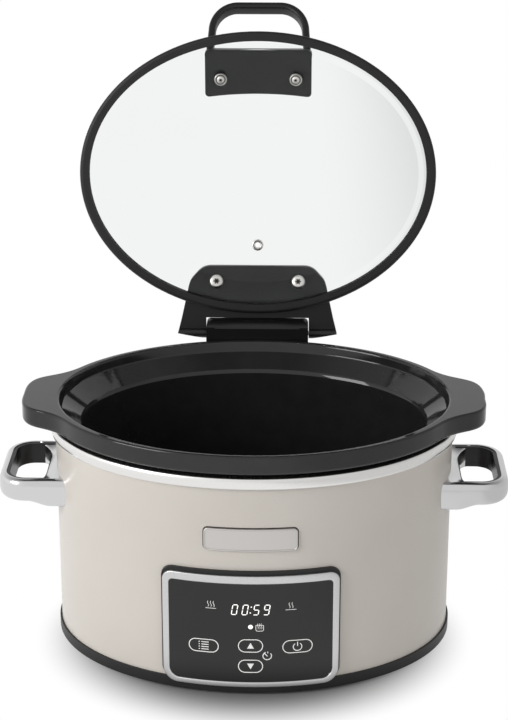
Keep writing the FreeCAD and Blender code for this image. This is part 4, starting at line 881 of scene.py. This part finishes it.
def buildFloor():
    half = floorLook["half"]
    corners = [(-half, -half, 0), (half, -half, 0), (half, half, 0), (-half, half, 0)]
    floorMesh = bpy.data.meshes.new("floor")
    floorMesh.from_pydata(corners, [], [(0, 1, 2, 3)])
    floor = bpy.data.objects.new("floor", floorMesh)
    bpy.context.scene.collection.objects.link(floor)
    paper = bpy.data.materials.new("white studio floor with painted shadow")
    paper.use_nodes = True
    tree = paper.node_tree
    tree.nodes.clear()
    seen, glossy = lightPath(tree)
    seen = addNode(tree, "ShaderNodeMath", dict(operation="MAXIMUM"), {0: seen, 1: glossy}).outputs[0]
    place = addNode(tree, "ShaderNodeTexCoord").outputs["Object"]

    # painted shadow: inside the oval the camera and gloss see the paper as 8C8C8C under the lamps, plain
    # white outside it
    (x, y), (wide, deep) = floorLook["shadeMiddle"], floorLook["shadeSize"]
    oval = addNode(tree, "ShaderNodeMapping", dict(Location=(-x / wide, -y / deep, 0.0),
                                                   Scale=(1 / wide, 1 / deep, 0.0)), dict(Vector=place))
    away = addNode(tree, "ShaderNodeVectorMath", dict(operation="LENGTH"), {0: oval.outputs["Vector"]})
    clear = addNode(tree, "ShaderNodeMapRange", floorLook["clear"], dict(Value=away.outputs["Value"]))
    share = addNode(tree, "ShaderNodeMath", dict(operation="MULTIPLY"), {0: clear.outputs[0], 1: seen})
    colour = addNode(tree, "ShaderNodeMix", {"data_type": "RGBA", 6: hexLinear(floorLook["lit"]),
                                             7: hexLinear(floorLook["seen"])}, {0: seen})
    matte = addNode(tree, "ShaderNodeBsdfDiffuse", None, dict(Color=colour.outputs[2]))

    # gloss sees the white floor fall off to the right, like the room
    parts = addNode(tree, "ShaderNodeSeparateXYZ", None, dict(Vector=place))
    fall = addNode(tree, "ShaderNodeMapRange", floorLook["fall"], dict(Value=parts.outputs["X"]))
    dim = addNode(tree, "ShaderNodeMath", dict(operation="MULTIPLY"), {0: fall.outputs[0], 1: glossy})
    level = addNode(tree, "ShaderNodeMath", {"operation": "SUBTRACT", 0: 1.0}, {1: dim.outputs[0]})
    white = addNode(tree, "ShaderNodeEmission", dict(Color=(1, 1, 1, 1)), dict(Strength=level.outputs[0]))
    both = addNode(tree, "ShaderNodeMixShader", None,
                   {0: share.outputs[0], 1: matte.outputs[0], 2: white.outputs[0]})
    addNode(tree, "ShaderNodeOutputMaterial", None, dict(Surface=both.outputs[0]))
    floorMesh.materials.append(paper)


# levels of the room's light, and the spans of the way looked along in which they change
room = dict(strip={**softSpan, "From Min": 0.10, "From Max": 0.45, "To Min": 0.10, "To Max": 0.5},
            front={**softSpan, "From Min": -0.30, "From Max": -0.08, "To Min": 1.0},
            above={"To Min": 0.2},
            high={**softSpan, "From Min": 0.3, "From Max": 0.9, "To Min": 1.0},
            wide={"From Min": -1.0, "From Max": 1.0, "To Min": 1.08, "To Max": 0.66})


def buildSky():  # a white room: bright round the horizon, darker overhead, and falling off to the right
    world = bpy.data.worlds.new("studio")
    bpy.context.scene.world = world
    world.use_nodes = True
    tree = world.node_tree
    tree.nodes.clear()
    seen, glossy = lightPath(tree)
    way = addNode(tree, "ShaderNodeTexCoord").outputs["Generated"]
    parts = addNode(tree, "ShaderNodeSeparateXYZ", None, dict(Vector=way)).outputs

    # overhead, only gloss sees a wide softbox to the front and two dimmer strips along the sides
    aside = addNode(tree, "ShaderNodeMath", dict(operation="ABSOLUTE"), {0: parts["X"]})
    strip = addNode(tree, "ShaderNodeMapRange", room["strip"], dict(Value=aside.outputs[0]))
    front = addNode(tree, "ShaderNodeMapRange", room["front"],
                    {"Value": parts["Y"], "To Max": strip.outputs[0]})
    above = addNode(tree, "ShaderNodeMapRange", room["above"], {"Value": glossy, "To Max": front.outputs[0]})

    # the horizon's level changes to that overhead and falls off to the right; the camera sees plain white
    high = addNode(tree, "ShaderNodeMapRange", room["high"],
                   {"Value": parts["Z"], "To Max": above.outputs[0]})
    wide = addNode(tree, "ShaderNodeMapRange", room["wide"], dict(Value=parts["X"]))
    lit = addNode(tree, "ShaderNodeMath", dict(operation="MULTIPLY"),
                  {0: high.outputs[0], 1: wide.outputs[0]})
    level = addNode(tree, "ShaderNodeMapRange", None, {"Value": seen, "To Min": lit.outputs[0]})
    sky = addNode(tree, "ShaderNodeBackground", dict(Color=(1, 1, 1, 1)), dict(Strength=level.outputs[0]))
    addNode(tree, "ShaderNodeOutputWorld", None, dict(Surface=sky.outputs[0]))


lamps = dict(keyLamp=dict(spot=(-1.9, -1.3, 1.3), size=(1.2, 1.2), power=30.0, glossy=True),
             fillLamp=dict(spot=(1.6, -1.3, 1.0), size=(1.2, 1.2), power=3.0, glossy=False),
             backLamp=dict(spot=(0.0, 0.9, 2.2), size=(0.8, 0.5), power=12.0, glossy=False))
lampAim = (0.0, 0.0, 0.12)


def buildLamps():
    for name, plan in lamps.items():
        data = bpy.data.lights.new(name, "AREA")
        data.shape = "RECTANGLE"
        data.size, data.size_y = plan["size"]
        data.energy = plan["power"]
        lamp = bpy.data.objects.new(name, data)
        bpy.context.scene.collection.objects.link(lamp)
        lamp.visible_glossy = plan["glossy"]
        lamp.location = plan["spot"]
        aim = np.array(lampAim) - np.array(plan["spot"])
        flat = math.hypot(aim[0], aim[1])
        lamp.rotation_euler = (math.atan2(flat, -aim[2]), 0.0, math.atan2(aim[0], -aim[1]) + math.pi)


# the camera fitted to the photo, its focal length in pixels of the image
view = dict(place=(0.0280, -1.3327, 0.7022), turn=0.021, tilt=0.358, focal=2036.3, imageHeight=720,
            sensor=24.0, near=0.05, far=50.0)


def buildCamera():
    data = bpy.data.cameras.new("photoCamera")
    data.sensor_fit = "VERTICAL"
    data.sensor_height = view["sensor"]
    data.lens = view["focal"] / view["imageHeight"] * view["sensor"]
    data.clip_start, data.clip_end = view["near"], view["far"]
    camera = bpy.data.objects.new("photoCamera", data)
    bpy.context.scene.collection.objects.link(camera)
    camera.location = view["place"]
    camera.rotation_euler = (math.pi / 2 - view["tilt"], 0.0, view["turn"])
    bpy.context.scene.camera = camera


buildFloor()
buildSky()
buildLamps()
buildCamera()
bpy.context.scene.view_settings.view_transform = "Standard"
print("studio built")
